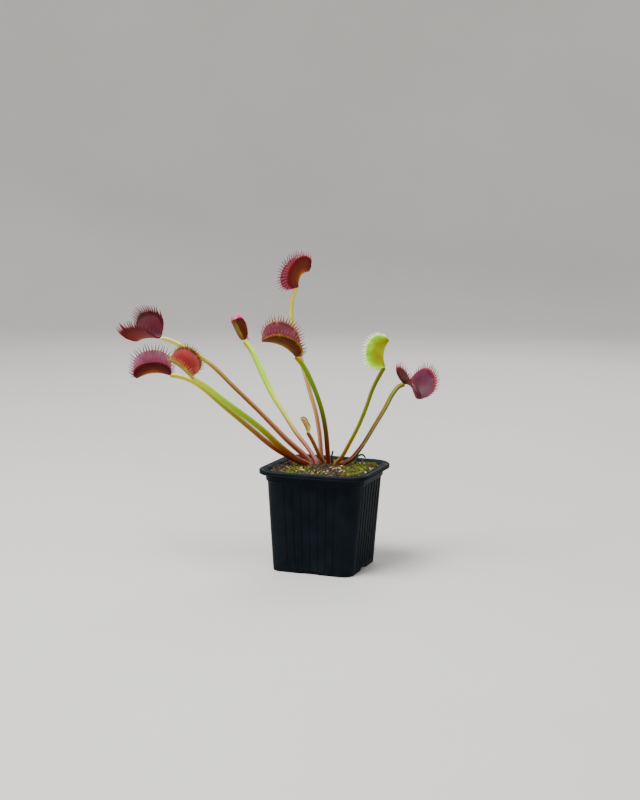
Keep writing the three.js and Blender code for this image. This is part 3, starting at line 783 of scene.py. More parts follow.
# %% A tree that scatters
nodes, given = geometry_tree("scatter", Grain="object", Where="text", Density="number", Smallest="number",
                             Largest="number", Tumble="number", Uneven="number", Seed="count",
                             Paint="material")
chance = nodes.carried(given["Where"])
thick = nodes.times(nodes.times(chance, chance), given["Density"])
dropped = nodes.get("GeometryNodeDistributePointsOnFaces", "Points",
                    {"Mesh": given["Geometry"], "Density": thick, "Seed": given["Seed"]})
lean_most = nodes.times(given["Tumble"], math.pi)
lean_least = nodes.times(lean_most, -1)
turn = nodes.random(nodes.combined(lean_least, lean_least, -math.pi),
                    nodes.combined(lean_most, lean_most, math.pi), seed=1, kind="FLOAT_VECTOR")
size = nodes.random(given["Smallest"], given["Largest"], seed=2)
squash_least = nodes.minus(1.0, given["Uneven"])
squash_most = nodes.plus(1.0, given["Uneven"])
squash = nodes.random(nodes.combined(squash_least, squash_least, squash_least),
                      nodes.combined(squash_most, squash_most, squash_most), seed=3, kind="FLOAT_VECTOR")
model = nodes.get("GeometryNodeObjectInfo", "Geometry", {"Object": given["Grain"]})
strewn = nodes.get("GeometryNodeInstanceOnPoints", "Instances", {
    "Points": dropped, "Instance": model, "Rotation": turn, "Scale": nodes.scaled(squash, size),
})
tinted = nodes.marked(strewn, "tint", nodes.random(0.0, 1.0, seed=4), domain="INSTANCE")
scatter_tree = finish_tree(nodes, tinted, given["Paint"], smooth=False)


def ground():
    """The top of the peat by itself, facing up, with the numbers that say what lies where."""
    faces = grid_faces(len(top_points), ring_size, wrap=True)
    piece = mesh_piece("ground", top_flat * MM, faces, moss=moss_cover, grit=grit_cover, bare=bare_cover)
    if piece.data.polygons[0].normal.z < 0:
        piece.data.flip_normals()
    return piece


def strew(name, grain, paint, where, density, sizes, tumble, uneven, seed):
    """Scatters a small model over the ground and settles the result.

    The density is for a square metre. The sizes say how many millimetres one unit of the model becomes, at
    least and at most. Tumble is how far a copy may tip over and uneven is how far it may be squashed, both
    from 0 to 1.
    """
    piece = grow(name, ground(), scatter_tree, Grain=grain, Where=where, Density=density,
                 Smallest=sizes[0] * MM, Largest=sizes[1] * MM, Tumble=tumble, Uneven=uneven, Seed=seed,
                 Paint=paint)
    bpy.data.objects.remove(grain)
    settle(piece, "peat", "soil")


# %% [markdown]
# A small model is one or two units across and has few faces, because there are thousands of copies. A crumb
# is a lump with twenty faces. A grain of grit has eighty and is worn rounder.

# %% Crumbs and grit


def lump(name, rounds, rough):
    """A closed, irregular lump one unit across."""
    mesh = bmesh.new()
    bmesh.ops.create_icosphere(mesh, subdivisions=rounds, radius=0.5)
    for corner in mesh.verts:
        corner.co *= 1 + rough * noise.noise(corner.co * 4 + Vector((rough * 9, 0, 0)))
    data = bpy.data.meshes.new(name)
    mesh.to_mesh(data)
    mesh.free()
    return in_scene(bpy.data.objects.new(name, data))


crumb_paint, nodes, shader = new_finish("peat crumbs", Roughness=0.85)
tint = gradient(nodes, attribute(nodes, "tint"), [
    (0.0, "080402"), (0.55, "1c1008"), (0.82, "48300f"), (1, "a8894c")])
nodes.feed(shader.inputs["Base Color"], mixed(nodes, 0.35, tint, gradient(
    nodes, speckle(nodes, 1500), [(0.3, "0c0604"), (0.7, "6b4a20")])))
bumps(nodes, shader, speckle(nodes, 3000, 5), 0.0003)

grit_paint, nodes, shader = new_finish("pale grit", Roughness=0.6, Specular_IOR_Level=0.4)
tint = gradient(nodes, attribute(nodes, "tint"), [(0.0, "a8842f"), (0.5, "cdb878"), (1, "80602a")])
nodes.feed(shader.inputs["Base Color"], mixed(nodes, 0.5, tint, gradient(
    nodes, speckle(nodes, 2400), [(0.35, "7c5c28"), (0.6, "d8c888")])))
bumps(nodes, shader, speckle(nodes, 4200, 4), 0.0001)

strew("peat_crumbs", lump("crumb", rounds=1, rough=0.5), crumb_paint, "bare",
      density=520_000, sizes=(0.5, 1.7), tumble=1.0, uneven=0.4, seed=11)
strew("peat_clods", lump("clod", rounds=2, rough=0.7), crumb_paint, "bare",
      density=38_000, sizes=(1.6, 3.2), tumble=1.0, uneven=0.35, seed=12)
strew("grit", lump("grain", rounds=2, rough=0.35), grit_paint, "grit",
      density=210_000, sizes=(0.8, 1.9), tumble=1.0, uneven=0.25, seed=13)

# %% [markdown]
# Moss grows as small stars of pointed leaves. Each leaf is a slim three-sided spike, so it is closed and
# catches light on two sides. Where many stand close together they make the soft cushions of the real thing.

# %% Moss
MOSS = {"leaves": 9, "turn": 2.4, "belly": 0.4, "half_width": 0.14, "thick": 0.09}
UPPER_LEAF = {"rise": 68, "start": 0.25}
LOWER_LEAF = {"rise": 32, "start": 0.1}
SPIKE_FACES = ((0, 2, 3), (0, 3, 1), (0, 1, 2), (4, 3, 2), (4, 1, 3), (4, 2, 1))


def moss_star():
    """A tuft about two units wide: leaves in two tiers, every third one in the steeper upper tier."""
    points, faces = [], []
    for leaf in range(MOSS["leaves"]):
        tier = UPPER_LEAF if leaf % 3 == 0 else LOWER_LEAF
        turn, rise = leaf * MOSS["turn"], math.radians(tier["rise"])
        out = np.array([math.cos(turn) * math.cos(rise), math.sin(turn) * math.cos(rise), math.sin(rise)])
        across = np.array([-math.sin(turn), math.cos(turn), 0])
        lift = np.cross(out, across) * -1
        start = np.array([0, 0, tier["start"]])
        belly = start + out * MOSS["belly"]
        side = across * MOSS["half_width"]
        first = len(points)
        points += [start, belly + side, belly - side, belly + lift * MOSS["thick"], start + out]
        faces += [tuple(first + i for i in face) for face in SPIKE_FACES]
    return tidy(mesh_piece("moss star", np.array(points), faces))


moss_paint, nodes, shader = new_finish("moss", Roughness=0.6, Subsurface_Weight=0.2, Subsurface_Scale=0.0006)
tint = gradient(nodes, attribute(nodes, "tint"), [
    (0.0, "0e1602"), (0.38, "3c5c08"), (0.72, "7ca00c"), (1, "4c3808")])
nodes.feed(shader.inputs["Base Color"], mixed(nodes, 0.4, tint, gradient(
    nodes, speckle(nodes, 120), [(0.35, "142004"), (0.65, "84901a")])))

strew("moss", moss_star(), moss_paint, "moss",
      density=950_000, sizes=(0.8, 1.6), tumble=0.14, uneven=0.2, seed=14)

# %% [markdown]
# A few dead fibres lie across the peat. A fibre is a thin bent thread, tipped almost flat.

# %% Fibres
FIBRE_STEPS = 9
FIBRE_SIDES = 5
FIBRE_RADIUS = 0.022
FIBRE_TIP = 0.02


def fibre():
    """A bent thread one unit long that lies along X and thins out towards both ends."""
    rings = []
    for u in np.linspace(0, 1, FIBRE_STEPS):
        centre = np.array([u - 0.5, 0.16 * math.sin(2.6 * u), 0.05 + 0.06 * math.sin(4 * u)])
        radius = FIBRE_RADIUS * math.sqrt(max(FIBRE_TIP, 1 - (2 * u - 1) ** 4))
        rings.append([centre + radius * np.array([0, math.cos(a), math.sin(a)])
                      for a in np.linspace(0, 2 * np.pi, FIBRE_SIDES + 1)[:-1]])
    faces = grid_faces(FIBRE_STEPS, FIBRE_SIDES, wrap=True)
    faces.append(tuple(reversed(range(FIBRE_SIDES))))
    faces.append(tuple((FIBRE_STEPS - 1) * FIBRE_SIDES + i for i in range(FIBRE_SIDES)))
    return tidy(mesh_piece("fibre", np.array(rings), faces))


strew("fibres", fibre(), crumb_paint, "bare",
      density=34_000, sizes=(3.5, 8.5), tumble=0.03, uneven=0.2, seed=15)

# %% [markdown]
# The rhizome and its roots lie hidden in the peat. Their packed form is right, so they only get a better
# material: the real ones are white inside, and stained brown by the peat.

# %% Rhizome
rhizome_paint, nodes, shader = new_finish("rhizome skin", Roughness=0.6)
nodes.feed(shader.inputs["Base Color"], gradient(
    nodes, speckle(nodes, 260, 6), [(0.35, "4a2f1e"), (0.55, "8a6a48"), (0.75, "cdbb96")]))
bumps(nodes, shader, speckle(nodes, 1200, 6, (1, 1, 3)), 0.0003)
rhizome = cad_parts["rhizome"]
rhizome.data.materials.clear()
rhizome.data.materials.append(rhizome_paint)
print("rhizome:", len(rhizome.data.polygons), "faces as packed")

# %% [markdown]
# ## The leaves
#
# Every leaf has the same build: a stalk with a shallow channel along its top, and a trap of two lobes at its
# end. What differs is where it goes, how far its trap is open and how red it has turned, so each leaf is one
# entry in a list. A route runs from the peat to the trap, in millimetres in the fan's frame. A stalk's width
# and depth are given at even stops from its foot to its tip, and so are its colours, for the side that looks
# up and for the keel below.
#
# A trap has the direction to its far end and the direction in which it opens. Then come its midrib's length,
# the breadth of a lobe, the half angle between the lobes and the midrib's bend in degrees. After them come
# the outline's length against the midrib's, how square it is, which lobe comes first, how many teeth stand on
# each margin and how long they are. The inner and outer colours run from the midrib to the margin, and a
# tooth's from its root to its tip. A blush tints the outside of one lobe, and stout teeth are thicker.

# %% Eight leaves
LEAVES = [
    {
        "name": "leaf_1", "seed": 1,
        "route": [(-10, 13, 71.5), (-29, 14, 90), (-47, 15, 108), (-65, 16, 125), (-83, 17, 142),
                  (-98, 17, 151), (-110, 18, 157.3), (-118, 18, 159.2)],
        "width": (5.4, 4.6, 4, 4, 3.9, 3.5), "depth": (4.2, 3.9, 3.2, 3.1, 3.2, 3.1),
        "top": ["a86070", "b06468", "a06040", "94602e", "8c5824", "a88434", "dcd468", "f0f090"],
        "keel": ["8c404c", "904840", "80482c", "744018", "74481a", "8c6c28", "c4bc50", "d8cc60"],
        "trap": {"along": (-0.77, 0.62, -0.17), "open": (-0.42, -0.28, 0.86), "length": 23.9, "breadth": 18.5,
                 "half": 33.7, "bend": 35, "over": 1, "square": 3.1, "side": -1,
                 "teeth": 25, "tooth_length": 6.8},
        "inner": ["a03848", "3c0814", "501424", "5c202c", "2c0208", "4c060c"],
        "outer": ["8c5410", "74240a", "6c0a02", "680600", "540000", "5c0308"],
        "tooth": ["5c0818", "701428", "783848"],
        "stout": 1.4,
    },
    {
        "name": "leaf_2", "seed": 2,
        "route": [(-15, 10, 71.5), (-22, 9, 75.5), (-36, 6, 84), (-53, 3, 98.5), (-71, -1, 114),
                  (-90, -5, 130), (-100, -6.5, 134.6), (-109.4, -8, 136.3)],
        "width": (4.6, 4.7, 4.7, 4.5, 3.7, 3), "depth": (3.7, 4, 4, 3.7, 3.2, 2.8),
        "top": ["a43c48", "983c38", "843c14", "7c5410", "8c8410", "b0b418", "d8e034", "dce444"],
        "keel": ["a04450", "943c3c", "803c18", "805018", "7c7410", "949014", "b8b41c", "c49830"],
        "trap": {"along": (-0.99, -0.06, -0.1), "open": (-0.08, -0.37, 0.92), "length": 22.7, "breadth": 15.9,
                 "half": 30, "bend": 62, "over": 1.06, "square": 2.3, "side": -1,
                 "teeth": 24, "tooth_length": 6.5},
        "inner": ["b86474", "70203c", "742c48", "8c5068", "90607c", "b8687c"],
        "outer": ["b07c10", "804004", "5c1400", "480600", "340000", "5c0c0c"],
        "tooth": ["8c2838", "8c3850", "945c70"],
    },
    {
        "name": "leaf_3", "seed": 3,
        "route": [(-11, 5, 71.5), (-20, 2, 77), (-32, -3, 87), (-44, -8, 99), (-59, -15, 112),
                  (-72, -20, 122.5), (-83, -25, 132), (-91.6, -28, 137.4)],
        "width": (5, 5.4, 6.2, 6.4, 5.2, 3.6), "depth": (3.9, 4.1, 4.3, 4.3, 3.9, 3.2),
        "top": ["a43c48", "9c4840", "98601c", "a4a414", "a8e414", "ccff38", "dcff60", "d8fc60"],
        "keel": ["a84850", "9c4040", "8c4818", "807410", "7c9804", "88b008", "a4c818", "c4c428"],
        "trap": {"along": (-0.79, 0.06, 0.61), "open": (0.43, -0.66, 0.61), "length": 19.1, "breadth": 14.9,
                 "half": 32.3, "bend": 42, "over": 1.05, "square": 2.3, "side": -1,
                 "teeth": 24, "tooth_length": 4.2},
        "inner": ["c87860", "8c2420", "9c3430", "b0504c", "701410", "a09010"],
        "outer": ["b49c18", "8c7408", "886804", "887408", "8c8008", "b0a414"],
        "tooth": ["8c7c18", "8c7c2c", "7c7044"],
    },
    {
        "name": "leaf_4", "seed": 4,
        "route": [(-5.5, 9, 71.5), (-12, 12, 82), (-21, 15, 93), (-30, 18, 107), (-39, 22, 121),
                  (-46, 25, 135), (-53, 28, 149), (-59, 30, 157)],
        "width": (4.4, 3.8, 4.2, 4.8, 4.6, 3.4), "depth": (3.4, 2.6, 2.9, 3.8, 4, 3.3),
        "top": ["b46c80", "c47c88", "c88464", "e4d880", "e4ec60", "c8fc28", "c0fc20", "c8f42c"],
        "keel": ["8c3040", "a05058", "ac6840", "b8a04c", "b4c43c", "9cd018", "98c814", "a88028"],
        "trap": {"along": (-0.38, -0.3, 0.87), "open": (-0.09, 0.87, 0.36), "length": 17.6, "breadth": 9.6,
                 "half": 18, "bend": 34, "over": 1, "square": 1.45, "side": -1,
                 "teeth": 18, "tooth_length": 7.6},
        "inner": ["a03048", "8a1428", "8a1428", "a02c44", "a82c50", "b84864"],
        "outer": ["84702c", "686020", "605018", "5c4014", "5c2010", "781420"],
        "blush": "501408",
        "tooth": ["c8245c", "d0508c", "c080a0"],
        "stout": 1.9,
    },
    {
        "name": "leaf_5", "seed": 5,
        "route": [(-2, 13, 71.5), (-3, 14, 79), (-4, 15, 90), (-7, 16, 107), (-12, 18, 123.5),
                  (-17, 20, 141), (-22, 21, 158), (-25, 23, 173), (-24.5, 24, 188), (-21.2, 25, 195.6)],
        "width": (4.2, 3.8, 3.6, 3.6, 3.4, 3.2), "depth": (2.8, 2.6, 2.6, 2.8, 2.8, 2.8),
        "top": ["b05050", "b87064", "b87c58", "c89860", "c0a058", "c0b850", "d0cc54", "d8d058"],
        "keel": ["84201c", "984c3c", "a0683c", "a07c3c", "a08c48", "a09c38", "acac38", "b88028"],
        "trap": {"along": (0.51, 0.44, 0.74), "open": (-0.71, -0.27, 0.65), "length": 17.4, "breadth": 13.2,
                 "half": 16.4, "bend": 98, "over": 1.04, "square": 4, "side": 1,
                 "teeth": 25, "tooth_length": 6},
        "inner": ["a04858", "681828", "6c1c2c", "742c40", "783040", "8c3c40"],
        "outer": ["d8941c", "884420", "703020", "642820", "541c16", "701418"],
        "tooth": ["88182c", "943850", "8c5c70"],
    },
    {
        "name": "leaf_6", "seed": 6,
        "route": [(2.2, 9, 71.5), (1.3, 5, 82), (0, -0.5, 96), (-2.5, -6, 110), (-6, -11, 122),
                  (-11, -17, 135), (-16, -21, 145), (-21.1, -25, 152)],
        "width": (4.2, 4.1, 4, 4, 4, 3.8), "depth": (2.6, 2.4, 2.4, 2.5, 2.7, 2.8),
        "top": ["7c1c18", "803428", "743414", "684c08", "606c08", "608800", "6c9400", "a4a410"],
        "keel": ["7c2420", "783428", "643014", "584808", "5c6c08", "5c8404", "648c08", "8c740c"],
        "trap": {"along": (-0.89, -0.22, 0.41), "open": (0.45, -0.21, 0.87), "length": 27.4, "breadth": 18.4,
                 "half": 45.7, "bend": 61, "over": 0.98, "square": 2.3, "side": -1,
                 "teeth": 26, "tooth_length": 4.8},
        "inner": ["a05c70", "581018", "641c28", "703040", "5c1c24", "c08464"],
        "outer": ["948c08", "6c5404", "582400", "502000", "480c00", "947410"],
        "tooth": ["6c2018", "84403c", "90685c"],
    },
    {
        "name": "leaf_7", "seed": 7,
        "route": [(7, 4, 71.5), (12, 1, 79), (17, -2, 89), (23, -6, 102), (28, -11, 116),
                  (32, -15, 129), (36, -18, 138), (39.8, -20, 145.1)],
        "width": (4, 3.6, 3.4, 3.4, 3.3, 3.2), "depth": (2.6, 2.5, 2.4, 2.4, 2.5, 2.6),
        "top": ["a43c34", "c07444", "b89c30", "9c9818", "888c14", "808410", "78800c", "848414"],
        "keel": ["8c2c2c", "943c30", "887010", "747408", "6c7008", "646c08", "586008", "6c6808"],
        "trap": {"along": (0.14, 0.14, 0.98), "open": (-0.99, 0.09, 0.13), "length": 19.5, "breadth": 13,
                 "half": 14, "bend": 62, "over": 1.05, "square": 2.4, "side": 1,
                 "teeth": 22, "tooth_length": 3.8},
        "inner": ["98982c", "90a028", "8ca820", "84b418", "84c41c", "a4e430"],
        "outer": ["a4b020", "8c8c14", "88900f", "8cb008", "90d408", "b0fc28"],
        "tooth": ["c0f060", "e4f4b0", "f4f8e0"],
        "stout": 1.45,
    },
    {
        "name": "leaf_8", "seed": 8,
        "route": [(12, 5, 71.5), (18, 7, 75.5), (25.5, 11, 84), (34, 17, 97), (42, 22, 110),
                  (47.5, 26, 120), (52, 28.5, 125.3), (56.7, 30, 127.1)],
        "width": (4.6, 4, 3.6, 3.6, 3.5, 3.4), "depth": (3.6, 3.2, 2.7, 2.7, 3, 3.3),
        "top": ["601814", "5c2012", "4c1c08", "4c3008", "584808", "605810", "6c6c10", "80801a"],
        "keel": ["481008", "400c06", "3c1404", "482c04", "504404", "504804", "5c5c08", "6c5c0c"],
        "trap": {"along": (0.42, -0.81, -0.4), "open": (0.24, -0.33, 0.91), "length": 23.4, "breadth": 18.2,
                 "half": 38.3, "bend": 69, "over": 1, "square": 2.4, "side": 1,
                 "teeth": 24, "tooth_length": 5.2},
        "inner": ["80284c", "400818", "4c0c24", "541c3c", "500c20", "a83848"],
        "outer": ["58180a", "540c02", "4c0602", "500402", "540408", "701018"],
        "tooth": ["700c20", "883044", "845468"],
    },
]


# %% [markdown]
# ### Stalks
#
# A stalk is a section swept along a path. The path is a smooth curve through the route's few points. It
# starts at the rhizome, below the peat, and is divided again into even steps.

# %% The path of a stalk
RHIZOME_TOP = 59.3
PATH_POINTS = 72
STEPS_A_SPAN = 24


def rooted(route):
    """The route with its foot drawn straight down to the rhizome."""
    x, y, z = route[0]
    return [(x, y, RHIZOME_TOP), (x, y, (RHIZOME_TOP + z) / 2), *route]


def smooth_path(route, count=PATH_POINTS):
    """Points at even steps along a smooth curve through the route."""
    knots = np.array(route, float)
    knots = np.concatenate([[2 * knots[0] - knots[1]], knots, [2 * knots[-1] - knots[-2]]])
    fine = []
    for before, start, end, after in zip(knots, knots[1:], knots[2:], knots[3:]):
        pairs = ((before, start), (start, end), (end, after))
        first, span, last = (np.linalg.norm(b - a) ** 0.5 for a, b in pairs)
        leave = ((start - before) / first - (end - before) / (first + span) + (end - start) / span) * span
        arrive = ((end - start) / span - (after - start) / (span + last) + (after - end) / last) * span
        for t in np.arange(STEPS_A_SPAN) / STEPS_A_SPAN:
            fine.append((2 * t ** 3 - 3 * t ** 2 + 1) * start + (t ** 3 - 2 * t ** 2 + t) * leave
                        + (3 * t ** 2 - 2 * t ** 3) * end + (t ** 3 - t ** 2) * arrive)
    fine = np.array([*fine, knots[-2]])
    far = np.concatenate([[0], np.cumsum(np.linalg.norm(np.diff(fine, axis=0), axis=1))])
    even = np.linspace(0, far[-1], count)
    return np.stack([np.interp(even, far, fine[:, axis]) for axis in range(3)], axis=1)


# %% [markdown]
# The section is a rule: x goes from one thin edge to the other, the upper side sinks to a channel and the
# lower side swells to a keel. A geometry tree lays that rule on a sheet of even squares. Each square's place
# along the sheet becomes a place on the path, and its place across becomes a place round the section. The
# sheet's numbers stay on the mesh, so the finish knows foot from tip and top from keel.

# %% A tree that grows a stalk
STALK = {"stations": 96, "sides": 22, "edge": 0.62, "foot_rounding": 30.0, "tip_rounding": 90.0,
         "lip": 0.3, "channel": 0.8, "bed": 0.2, "swell": 1.67, "keel": 0.7, "soft": 2.2}
WELD = 1e-5

nodes, given = geometry_tree("stalk", Level="vector", Stations="count", Sides="count", EdgeThickness="number",
                             FootRounding="number", TipRounding="number", Paint="material")
path = nodes.get("GeometryNodeMeshToCurve", "Curve", {"Mesh": given["Geometry"]})
sheet = nodes.add("GeometryNodeMeshGrid", {"Vertices X": given["Stations"], "Vertices Y": given["Sides"]})
sheet_place = nodes.parts(sheet.outputs["UV Map"])
run, turn_share = sheet_place["X"], sheet_place["Y"]
size = nodes.carried("section", "FLOAT_VECTOR")
sample = nodes.add("GeometryNodeSampleCurve", {"Curves": path, "Value": size, "Factor": run},
                   mode="FACTOR", data_type="FLOAT_VECTOR", use_all_curves=True)
tangent = socket_named(sample.outputs, "Tangent")
tilt = nodes.get("ShaderNodeVectorMath", "Value", {0: given["Level"], 1: tangent}, operation="DOT_PRODUCT")
off_path = nodes.vector("SUBTRACT", given["Level"], nodes.scaled(tangent, tilt))
side = nodes.vector("NORMALIZE", off_path)
up = nodes.vector("CROSS_PRODUCT", tangent, side)
section = nodes.parts(socket_named(sample.outputs, "Value"))
width, depth = section["X"], section["Y"]

angle = nodes.times(turn_share, 2 * math.pi)
x, y = nodes.math("COSINE", angle), nodes.math("SINE", angle)
lip = nodes.times(depth, STALK["lip"])
channel = nodes.math("MULTIPLY_ADD", nodes.times(x, x), STALK["channel"], STALK["bed"])
upper = nodes.times(lip, channel)
keel_drop = nodes.minus(depth, given["EdgeThickness"])
swell = nodes.math("POWER", nodes.math("ABSOLUTE", x), STALK["swell"])
lower = nodes.math("MULTIPLY_ADD", keel_drop, swell, nodes.times(depth, -STALK["keel"]))
middle = nodes.times(nodes.plus(upper, lower), 0.5)
half_thick = nodes.times(nodes.minus(upper, lower), 0.5)
soft = nodes.math("MAXIMUM", nodes.math("MINIMUM", nodes.times(y, STALK["soft"]), 1.0), -1.0)
rise = nodes.math("MULTIPLY_ADD", half_thick, soft, middle)
reach = nodes.times(nodes.times(width, 0.5), x)
offset = nodes.vector("ADD", nodes.scaled(side, reach), nodes.scaled(up, rise))

foot_end = nodes.times(run, given["FootRounding"])
tip_end = nodes.times(nodes.minus(1.0, run), given["TipRounding"])
closing = nodes.math("SQRT", nodes.clamped(nodes.math("MINIMUM", foot_end, tip_end)))
skin = nodes.vector("ADD", socket_named(sample.outputs, "Position"), nodes.scaled(offset, closing))
geometry = nodes.get("GeometryNodeSetPosition", "Geometry",
                     {"Geometry": sheet.outputs["Mesh"], "Position": skin})
for label, value in (("along", run), ("across", x), ("above", y)):
    geometry = nodes.marked(geometry, label, value)
welded = nodes.get("GeometryNodeMergeByDistance", "Geometry", {"Geometry": geometry, "Distance": WELD})
stalk_tree = finish_tree(nodes, welded, given["Paint"])


def stalk_piece(name, route, widths, depths, paint):
    """A stalk along a route. Widths and depths are stops spread evenly from foot to tip."""
    points = smooth_path(route)
    stops, run = np.linspace(0, 1, len(widths)), np.linspace(0, 1, len(points))
    sections = np.stack([np.interp(run, stops, widths), np.interp(run, stops, depths), 0 * run], axis=1) * MM
    lean = points[-1] - points[0]
    level = unit([-lean[1], lean[0], 0])
    steps = [(i, i + 1) for i in range(len(points) - 1)]
    start = mesh_piece(name + " path", placed(points) * MM, [], steps, section=sections)
    return tidy(grow(name, start, stalk_tree, Level=placed(level).tolist(), Stations=STALK["stations"],
                     Sides=STALK["sides"], EdgeThickness=STALK["edge"] * MM, Paint=paint,
                     FootRounding=STALK["foot_rounding"], TipRounding=STALK["tip_rounding"]))


# %% [markdown]
# The lower leaf of a sun-grown plant is green where it is young and turns yellow, orange and wine red towards
# its foot. The keel is darker than the top, partly its own colour and partly painted shade for the underside.
# Fine lengthwise streaks follow the veins, and near the foot they are clear red stripes. Both thin edges are
# lightened as a painted highlight. The colours sit on the mesh's own numbers, so they follow each bend.

# %% Finish of a stalk


def even_stops(codes):
    """Colours spread evenly from 0 to 1."""
    return [(i / (len(codes) - 1), code) for i, code in enumerate(codes)]


def stalk_finish(name, top, keel, seed):
    """Colours along a stalk from foot to tip, for its top and its keel."""
    material, nodes, shader = new_finish(name, Roughness=0.36, Subsurface_Weight=0.15,
                                         Subsurface_Scale=0.0012, Specular_IOR_Level=0.12)
    run, across, above_keel = (attribute(nodes, label) for label in ("along", "across", "above"))
    # The keel's colours are darker than the top's: partly the stalk's own colour, partly painted shade on the
    # underside.
    shares = between(nodes, above_keel, -0.7, 0.45)
    top_and_shaded_keel = mixed(nodes, shares, gradient(nodes, run, even_stops(keel)), gradient(nodes, run, even_stops(top)))

    lengthwise = nodes.combined(nodes.times(across, 5.0), nodes.times(run, 9.0),
                                nodes.math("MULTIPLY_ADD", above_keel, 1.5, seed * 3.7))
    streak = nodes.get("ShaderNodeTexNoise", "Fac", {"Vector": lengthwise, "Scale": 1.6, "Detail": 3.0})
    foot_end = nodes.minus(1.0, between(nodes, run, 0.12, 0.42))
    stripe = nodes.times(between(nodes, streak, 0.5, 0.62), foot_end)
    striped = mixed(nodes, nodes.times(stripe, 0.55), top_and_shaded_keel, colour("7a1420"))
    veined = mixed(nodes, nodes.times(between(nodes, streak, 0.35, 0.75), 0.16), striped,
                   colour("f4ef60"), "SOFT_LIGHT")
    # Painted highlight: both thin edges of the stalk are lightened.
    edge = between(nodes, nodes.math("ABSOLUTE", across), 0.8, 0.97)
    painted_edge_highlight = mixed(nodes, nodes.times(edge, 0.17), veined, colour("e6e884"))
    nodes.feed(shader.inputs["Base Color"], painted_edge_highlight)
    relief = nodes.plus(streak, nodes.times(speckle(nodes, 1800, 3), 0.25))
    bumps(nodes, shader, relief, 0.00025)
    return material


for leaf in LEAVES:
    name = leaf["name"]
    paint = stalk_finish(name + " stalk skin", leaf["top"], leaf["keel"], leaf["seed"])
    stalk = stalk_piece(name + "_channelled_stalk", rooted(leaf["route"]), leaf["width"], leaf["depth"],
                        paint)
    settle(stalk, "leaf_stalk", name + "_stalk")

# %% [markdown]
# ### Traps
#
# A trap is one bent blade. Its midrib is the hinge, and each half rises from it, cups over and ends in a thin
# margin. The midrib is an arc and the lobes stand out from it like spokes, so the margin is longer than the
# midrib. All of that is a rule of two numbers: s runs along the midrib, and t runs across, from one margin
# at -1 to the other at 1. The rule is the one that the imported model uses, here with far finer steps, a
# rounded margin and the low ridges that run in from the teeth.

# %% The rule for a trap's lobes
LOBE = {"keel": 1.4, "skin": 0.75, "end_angle": 0.06, "cup": 0.16, "keel_radius": 1.3, "round": 0.4}
ARC_STEPS = 16
SMALL_STEP = 0.01
MARGIN_STEPS = 400


def signed_power(value, power):
    """A power that keeps the sign of the value."""
    return np.sign(value) * np.abs(value) ** power


def trap_axes(trap):
    """The midrib's direction, the way the trap opens and the way its first lobe leans."""
    along = unit(trap["along"])
    opening = np.array(trap["open"], float)
    opening = unit(opening - opening.dot(along) * along)
    return along, opening, np.cross(along, opening) * trap["side"]


def lobe_reach(trap, s):
    """How far the margin lies from the midrib, over the skin."""
    phi = np.pi - LOBE["end_angle"] - s * (np.pi - 2 * LOBE["end_angle"])
    return phi, trap["breadth"] * signed_power(np.sin(phi), 2 / trap["square"])


def lobe_point(leaf, s, t):
    """Points of the blade's middle, in millimetres in the fan's frame."""
    trap = leaf["trap"]
    along, opening, lean = trap_axes(trap)
    half, rim = trap["length"] / 2, np.abs(t)
    phi, reach = lobe_reach(trap, s)
    rim_x = half + half * trap["over"] * signed_power(np.cos(phi), 2 / trap["square"])
    x = trap["length"] * s * (1 - rim) + rim_x * rim
    distance = rim * reach
    half_angle = math.radians(trap["half"])
    sideways, outwards = np.zeros_like(distance), np.zeros_like(distance)
    for step in range(ARC_STEPS):
        d = (step + 0.5) / ARC_STEPS * distance
        angle = half_angle + (np.pi / 2 - half_angle) * np.exp(-d / LOBE["keel_radius"])
        angle = angle + LOBE["cup"] * (1 - 2 * d / trap["breadth"])
        sideways += np.sin(angle) * distance / ARC_STEPS
        outwards += np.cos(angle) * distance / ARC_STEPS
    bend = math.radians(trap["bend"])
    radius = trap["length"] / bend
    spoke = (x / trap["length"] - 0.5) * bend
    forward = (radius + outwards) * np.sin(spoke) + radius * math.sin(bend / 2)
    raised = (radius + outwards) * np.cos(spoke) - radius * math.cos(bend / 2)
    start = np.array(leaf["route"][-1], float)
    return (start + forward[..., None] * along + raised[..., None] * opening
            + (np.sign(t) * sideways)[..., None] * lean)


def slope(leaf, s, t, ds, dt):
    """The direction in which the blade runs when s or t grows."""
    ahead_point = lobe_point(leaf, np.clip(s + ds, 0, 1), np.clip(t + dt, -1, 1))
    back_point = lobe_point(leaf, np.clip(s - ds, 0, 1), np.clip(t - dt, -1, 1))
    return ahead_point - back_point


def skin_normal(leaf, s, t):
    """The direction square to the blade."""
    return unit(np.cross(slope(leaf, s, t, SMALL_STEP, 0), slope(leaf, s, t, 0, SMALL_STEP)))


def margin_run(leaf):
    """Places along the margin by its own length: a table of s and of the share of the margin passed."""
    s = np.linspace(0, 1, MARGIN_STEPS)
    points = lobe_point(leaf, s, np.ones_like(s))
    far = np.concatenate([[0], np.cumsum(np.linalg.norm(np.diff(points, axis=0), axis=1))])
    return s, far / far[-1]


# %% [markdown]
# The blade gets two faces, half its thickness to either side of the rule. The thickness runs down to nothing
# at the margin and at both ends along a quarter round, so the two faces meet there and the skin is closed.
# Rows and columns lie closer together near the edges, where the round needs them.

# %% The blade of a trap
BLADE_ROWS = 60
BLADE_COLUMNS = 27
EDGE_CROWDING = 1.7
KEEL_THINS = 3.2
RIDGE = {"height": 0.16, "from": 0.62, "scallop": 0.25, "scallop_from": 0.86, "end_fade": 8}
TOOTHED = (0.05, 0.95)


def quarter_round(share):
    """The height of a quarter circle, from 0 to 1."""
    share = np.clip(share, 0, 1)
    return np.sqrt(np.maximum(0, 1 - (1 - share) ** 2))


